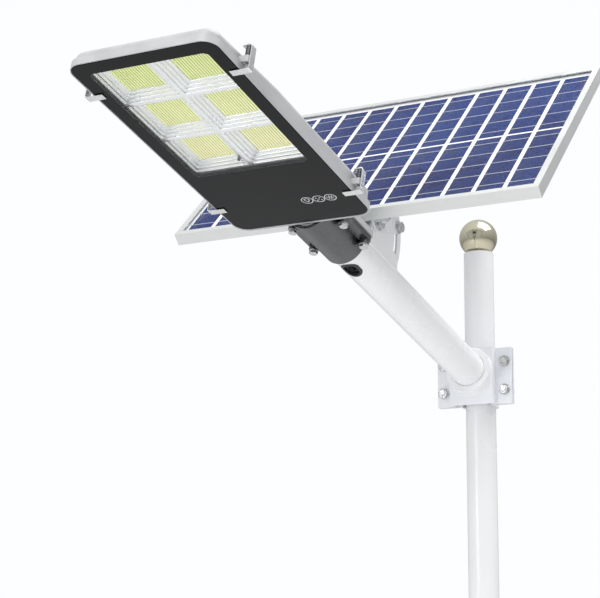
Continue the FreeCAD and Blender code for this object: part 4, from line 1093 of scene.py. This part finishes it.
class LAMP_OT_light_source(bpy.types.Operator):
    """Fill the six lamp fields with light chips behind a metallised reflector"""
    bl_idname = "lamp.light_source"
    bl_label = "Light source"

    def execute(self, context):
        s, c = sizes(), tints()
        trim = extent("reflector", ARM)
        pitch_x = (trim[1].x - trim[0].x) / 2
        pitch_y = (trim[1].y - trim[0].y) / 3
        tray = reflector_tray("reflector_tray", s.tray_mouth / 2, s.tray_floor / 2,
                              trim[0].z, trim[1].z, pitch_x, pitch_y)
        centre = (trim[0] + trim[1]) / 2
        places = [(centre.x + column * pitch_x, centre.y + row * pitch_y, 0.0)
                  for column in (-0.5, 0.5) for row in (-1, 0, 1)]
        trays = scatter(copies_pattern(), "reflector_trays", tray, places,
                        [(0.0, 0.0, 0.0)] * len(places), ARM, mirror_plastic("mirror_step"))
        fit(trays, "head", "reflector_metal", "reflector")
        coat(woven_sheet("board_mask", (0.80, 0.80, 0.78)), "led_boards")
        coat(moulded_plastic("sensor_lens", (0.03, 0.025, 0.03), ARM, 0.2), "light_sensor")
        low, high = extent("led_boards", ARM)
        case_lift, dome_lift = 0.25 * MM, 0.35 * MM
        places = middles(solids("led_boards", ARM), low.z - case_lift)
        pitch = Vector((s.field / s.chip_columns, s.field / s.chip_rows))
        # Both the phosphor and the chip cases carry the phosphor finish's painted glow.
        light = phosphor("phosphor", c.warm_light, c.green_light, low.y, high.y)
        silicone = phosphor("chip_case", (0.42, 0.44, 0.16), (0.26, 0.34, 0.08), low.y, high.y)
        pattern = grid_pattern()
        grid = {"Columns": s.chip_columns, "Rows": s.chip_rows, "Pitch_X": pitch.x,
                "Pitch_Y": pitch.y, "Facing": Z_DOWN}
        cases = pattern.bake("chip_cases", dots("cases", places), ARM, silicone, **grid,
                             Block=(pitch.x * 0.94, pitch.y * 0.97, 0.45 * MM),
                             Crown=0.05 * MM, Waist=0.95)
        places = [(x, y, z - dome_lift) for x, y, z in places]
        domes = pattern.bake("chip_phosphor", dots("domes", places), ARM, light, **grid,
                             Block=(pitch.x * 0.62, pitch.y * 0.96, 0.2 * MM),
                             Crown=0.1 * MM, Waist=0.88)
        fit(cases, "head", "led_board")
        fit(domes, "head", "led_board")
        return {"FINISHED"}


# ---------------------------------------------------------------- clips
def bent_strip(name, path, thick, low_y, high_y, bend, steps=6):
    """A flat strip bent along a path of (x, z) corners, rounded at each one."""
    line = [Vector(path[0])]
    for before, corner, after in zip(path, path[1:], path[2:]):
        corner = Vector(corner)
        back = (Vector(before) - corner).normalized()
        on = (Vector(after) - corner).normalized()
        centre = corner + (back + on) * bend
        for i in range(steps + 1):
            a = i / steps * math.pi / 2
            line.append(centre - on * bend * math.cos(a) - back * bend * math.sin(a))
    line.append(Vector(path[-1]))
    sides = []
    for i, point in enumerate(line):
        along = (line[min(i + 1, len(line) - 1)] - line[max(i - 1, 0)]).normalized()
        out = Vector((-along.y, along.x)) * thick / 2
        sides.append((point + out, point - out))
    outline = [a for a, _ in sides] + [b for _, b in reversed(sides)]
    edge = thick * 0.25
    rings = []
    for y, inset in ((low_y, edge), (low_y + edge, 0.0), (high_y - edge, 0.0), (high_y, edge)):
        drawn = [point + (centre - point) * (inset / (thick / 2))
                 for point, centre in zip(outline, line + line[::-1])]
        rings.append([(point.x, y, point.y) for point in drawn])
    return mesh_from(rings, name, closed=False)


CLIPS = ("clip_rear_left", "clip_rear_right", "clip_front_left", "clip_front_right")


class LAMP_OT_clips(bpy.types.Operator):
    """Bend the four spring strips that hold the glass and wind their springs"""
    bl_idname = "lamp.clips"
    bl_label = "Clips"

    def execute(self, context):
        s = sizes()
        steel = bright_zinc("clip_steel", (0.80, 0.81, 0.82), 0.2)
        thick, tab, bend = 1.2 * MM, 11.5 * MM, 2.2 * MM
        joints = {joint["child"]: joint for joint in frame["joints"]}
        for node in CLIPS:
            body = next(b for b in joints if node in frame["record"]["behaviour"]["bodies"][b])
            low, high = extent(node, ARM)
            side = 1 if low.x + high.x > 0 else -1
            outer = (high.x if side > 0 else low.x) - side * thick / 2
            inner = low.x if side > 0 else high.x
            top, bottom = high.z - thick / 2, low.z + thick / 2
            path = [(inner, bottom), (outer, bottom), (outer, top), (outer - side * tab, top)]
            mesh = bent_strip(node, path, thick, low.y, high.y, bend)
            fit(settle(node + "_strip", mesh, ARM, steel), body, "clip_steel", node)
        coils = solids("clip_springs", ARM)
        low, high = coils[0]
        wire = s.spring_wire / 2
        places = middles(coils, low.z + wire)
        springs = coil_pattern().bake(
            "clip_coils", dots("coils", places), ARM,
            bright_zinc("spring_steel", (0.16, 0.16, 0.17), 0.3),
            Turns=s.spring_turns, Radius=(high.x - low.x) / 2 - wire,
            Height=high.z - low.z - wire * 2, Wire=wire)
        fit(springs, "head", "clip_steel", "clip_springs")
        return {"FINISHED"}


# ---------------------------------------------------------------- solar panel
class LAMP_OT_cells(bpy.types.Operator):
    """Lay two rows of cells and solder the busbar ribbons over them"""
    bl_idname = "lamp.cells"
    bl_label = "Solar cells"

    def execute(self, context):
        s, c = sizes(), tints()
        cells = solids("solar_cells", PANEL)
        low, high = extent("solar_cells", PANEL)
        size = cells[0][1] - cells[0][0]
        rows = sorted({round((a.y + b.y) / 2, 4) for a, b in cells})
        columns = sorted({round((a.x + b.x) / 2, 4) for a, b in cells})
        pitch = (columns[-1] - columns[0]) / (len(columns) - 1)
        middle = (columns[0] + columns[-1]) / 2
        pattern = grid_pattern()
        wafer_lift, ribbon_lift, overhang = 0.07 * MM, 0.21 * MM, 3 * MM
        places = [(middle, row, low.z + wafer_lift) for row in rows]
        wafers = pattern.bake(
            "cell_wafers", dots("wafers", places), PANEL,
            silicon("silicon", c.indigo, c.blue, s.finger_pitch),
            Columns=len(columns), Rows=1, Pitch_X=pitch, Pitch_Y=size.y, Facing=Z_UP,
            Block=(size.x, size.y, 0.12 * MM), Crown=0.03 * MM, Waist=0.996)
        fit(wafers, "panel", "cell_blue", "solar_cells")
        places = [(middle, row, low.z + ribbon_lift) for row in rows]
        ribbons = pattern.bake(
            "busbar_ribbons", dots("ribbons", places), PANEL,
            bright_zinc("tinned_copper", (0.80, 0.82, 0.86), 0.3),
            Columns=1, Rows=s.busbars, Pitch_X=pitch, Pitch_Y=size.y / s.busbars, Facing=Z_UP,
            Block=(high.x - low.x + overhang, s.busbar_wide, 0.06 * MM),
            Crown=0.02 * MM, Waist=0.9)
        fit(ribbons, "panel", "zinc")
        return {"FINISHED"}


class LAMP_OT_panel_shell(bpy.types.Operator):
    """Finish the panel's frame, glass, backing, bars and junction box"""
    bl_idname = "lamp.panel_shell"
    bl_label = "Panel shell"

    def execute(self, context):
        c = tints()
        coat(anodised("rail_lengthways", c.rail, True), "frame_rail_lower", "frame_rail_upper")
        coat(anodised("rail_sideways", c.rail, False), "frame_rail_left", "frame_rail_right")
        coat(cast_metal("key_casting", (0.45, 0.46, 0.47), 0.8, 0.45, PANEL), "frame_corner_keys")
        coat(panel_cover("panel_front_glass"), "panel_glass")
        coat(woven_sheet("backing_film", (0.86, 0.87, 0.88)), "panel_backsheet")
        coat(bright_zinc("galvanised", (0.55, 0.57, 0.58), 0.42), "back_bar_left", "back_bar_right")
        black = moulded_plastic("junction_plastic", (0.016, 0.016, 0.017), PANEL, 0.48)
        coat(black, "junction_box", "junction_gland")
        low, high = extent("junction_lid", PANEL)
        plate = slab("junction_cover", high.x, low, high, 5 * MM, 0.8 * MM)
        ribs, gap, half, proud, sunk = [plate], 6.5 * MM, 1.2 * MM, 0.4 * MM, 0.6 * MM
        for i in range(-3, 4):
            y = (low.y + high.y) / 2 + i * gap
            a, b = Vector((0, y - half, low.z - proud)), Vector((0, y + half, low.z + sunk))
            ribs.append(slab("rib", high.x * 0.66, a, b, 1.1 * MM, proud))
        fit(settle("junction_cover", joined("junction_cover", ribs), PANEL, black),
            "panel", "dark_plastic", "junction_lid")
        return {"FINISHED"}


# ---------------------------------------------------------------- tie cord
TIE_ROUTE = ((0.0570, -0.42838, 0.95164), (0.0570, -0.4252, 0.94823), (0.0560, -0.4243, 0.9422),
             (0.0540, -0.4240, 0.9352), (0.0502, -0.4238, 0.9298), (0.0446, -0.4236, 0.9272))
TIE_DIAMETER = 0.001


class LAMP_OT_tie_cord(bpy.types.Operator):
    """Hang the thin cord from the lower rail and knot its end"""
    bl_idname = "lamp.tie_cord"
    bl_label = "Tie cord"

    def execute(self, context):
        fibre = twisted_fibre("cord_fibre", (0.72, 0.72, 0.70))
        line = bpy.data.curves.new("hanging_cord", "CURVE")
        line.dimensions = "3D"
        spline = line.splines.new("NURBS")
        spline.points.add(len(TIE_ROUTE) - 1)
        for point, place in zip(spline.points, TIE_ROUTE):
            point.co = (*place, 1.0)
        spline.order_u = 3
        spline.use_endpoint_u = True
        spline.resolution_u = 12
        line.bevel_depth = TIE_DIAMETER / 2
        line.bevel_resolution = 4
        line.use_fill_caps = True
        line.materials.append(fibre)
        cord = placed("hanging_cord", line)
        low, high = extent("tie_knot", UPRIGHT)
        size, middle = (high - low) / 2, (low + high) / 2
        wind = [Vector(((math.sin(a) + 2 * math.sin(2 * a)) / 3.1,
                        (math.cos(a) - 2 * math.cos(2 * a)) / 3.1, -math.sin(3 * a) / 1.6))
                for a in angles(96)]
        reach = min(size) - TIE_DIAMETER * 0.45
        knot = swept([middle + p * reach for p in wind], TIE_DIAMETER * 0.42, 10, "cord_knot")
        knot = settle("cord_knot", knot, UPRIGHT, fibre)
        fit(cord, "panel", "cord_fibre", "tie_cord")
        fit(knot, "panel", "cord_fibre", "tie_knot")
        return {"FINISHED"}


# ---------------------------------------------------------------- inside the hump
class LAMP_OT_power_pack(bpy.types.Operator):
    """Finish the battery, its cradle and the charge controller"""
    bl_idname = "lamp.power_pack"
    bl_label = "Power pack"

    def execute(self, context):
        coat(moulded_plastic("cell_wrap", (0.02, 0.10, 0.30), ARM, 0.35), "battery_cells")
        coat(moulded_plastic("cradle_plastic", (0.03, 0.03, 0.032), ARM), "battery_cradle")
        coat(solder_mask("solder_mask", (0.01, 0.16, 0.06), (0.40, 0.26, 0.10)), "controller_board")
        coat(moulded_plastic("chip_resin", (0.02, 0.02, 0.02), ARM, 0.42), "controller_parts")
        return {"FINISHED"}


# ---------------------------------------------------------------- studio
CAMERA_AT = (0.994147, -2.414811, 0.354025)
CAMERA_TURN = math.radians(28.362)
CAMERA_RISE = math.radians(12.45)
CAMERA_ROLL = math.radians(0.368)
CAMERA_LENS = 105.04
BRIGHT_SIDE = (-0.05, -0.20, 0.98)
TENT_LEVEL = 0.46
TENT_SWING = 0.55


def soft_light(name, at, aim, size, power, tone):
    """A large square lamp that points at the object."""
    light = bpy.data.lights.new(name, "AREA")
    light.size = size
    light.energy = power
    light.color = tone
    lamp = placed(name, light)
    lamp.location = at
    lamp.rotation_euler = (Vector(aim) - Vector(at)).to_track_quat("-Z", "Y").to_euler()


class LAMP_OT_studio(bpy.types.Operator):
    """Set the pale floor, the soft lights and the camera"""
    bl_idname = "lamp.studio"
    bl_label = "Studio"

    def execute(self, context):
        scene = bpy.context.scene
        scene.view_settings.view_transform = "Standard"
        reach, deep, bevel = 6.0, 0.012, 0.01
        disc = [(0.0, -deep), (reach, -deep), (reach, -0.002), (reach - bevel, 0.0), (0.0, 0.0)]
        floor = lathe(disc, 96, "studio_floor", closed=False)
        paint = moulded_plastic("floor_paint", (0.66, 0.66, 0.66), rough=0.85)
        settle("studio_floor", floor, UPRIGHT, paint)
        world = bpy.data.worlds.new("studio")
        scene.world = world
        world.use_nodes = True
        tent = Network(world.node_tree)
        ways = tent.node("ShaderNodeTexCoord", output="Generated")
        ahead = tent.node("ShaderNodeVectorMath", {"operation": "DOT_PRODUCT"},
                          {0: ways, 1: BRIGHT_SIDE}, "Value")
        glow = ahead * TENT_SWING + TENT_LEVEL
        seen = tent.node("ShaderNodeLightPath", output="Is Camera Ray")
        backdrop = world.node_tree.nodes["Background"]
        backdrop.inputs["Color"].default_value = (0.98, 0.99, 1.0, 1.0)
        level = seen.maths("MAXIMUM", glow)
        world.node_tree.links.new(level.socket, backdrop.inputs["Strength"])
        aim = (0.0, -0.3, 0.85)
        soft_light("key", (0.2, -2.6, 2.1), aim, 1.0, 27.0, (1.0, 0.99, 0.98))
        soft_light("front", (-1.0, -3.0, 0.9), aim, 0.5, 9.0, (0.97, 0.98, 1.0))
        soft_light("top", (0.9, 0.0, 2.8), aim, 1.8, 40.0, (1.0, 1.0, 1.0))
        camera = bpy.data.cameras.new("camera")
        camera.lens = CAMERA_LENS
        camera.sensor_width = 36.0
        viewer = placed("camera", camera)
        viewer.matrix_world = (Matrix.Translation(CAMERA_AT) @ Matrix.Rotation(CAMERA_TURN, 4, "Z")
                               @ Matrix.Rotation(math.pi / 2 + CAMERA_RISE, 4, "X")
                               @ Matrix.Rotation(CAMERA_ROLL, 4, "Z"))
        scene.camera = viewer
        return {"FINISHED"}


# ---------------------------------------------------------------- panel and registration
STEPS = (LAMP_OT_studio, LAMP_OT_tie_cord, LAMP_OT_painted_steel, LAMP_OT_welds, LAMP_OT_finial,
         LAMP_OT_fasteners, LAMP_OT_castings, LAMP_OT_cover, LAMP_OT_pictogram,
         LAMP_OT_light_source, LAMP_OT_clips, LAMP_OT_cells, LAMP_OT_panel_shell,
         LAMP_OT_power_pack)


class LAMP_PT_sidebar(bpy.types.Panel):
    """Lists the street lamp's pieces in the order that they are made"""
    bl_idname = "LAMP_PT_sidebar"
    bl_label = "Solar street lamp"
    bl_space_type = "VIEW_3D"
    bl_region_type = "UI"
    bl_category = "Street lamp"

    def draw(self, context):
        for step in STEPS:
            self.layout.operator(step.bl_idname)
        settings = context.scene.street_lamp
        for group in (settings.sizes, settings.colours):
            box = self.layout.box()
            for name in group.bl_rna.properties.keys():
                if name not in ("rna_type", "name"):
                    box.prop(group, name)


CLASSES = (LampSizes, LampColours, LampSettings, *STEPS, LAMP_PT_sidebar)


def register():
    for cls in CLASSES:
        bpy.utils.register_class(cls)
    bpy.types.Scene.street_lamp = PointerProperty(type=LampSettings)


def unregister():
    del bpy.types.Scene.street_lamp
    for cls in reversed(CLASSES):
        bpy.utils.unregister_class(cls)


def main():
    register()
    for step in STEPS:
        group, name = step.bl_idname.split(".")
        getattr(getattr(bpy.ops, group), name)()


if __name__ == "__main__":
    main()
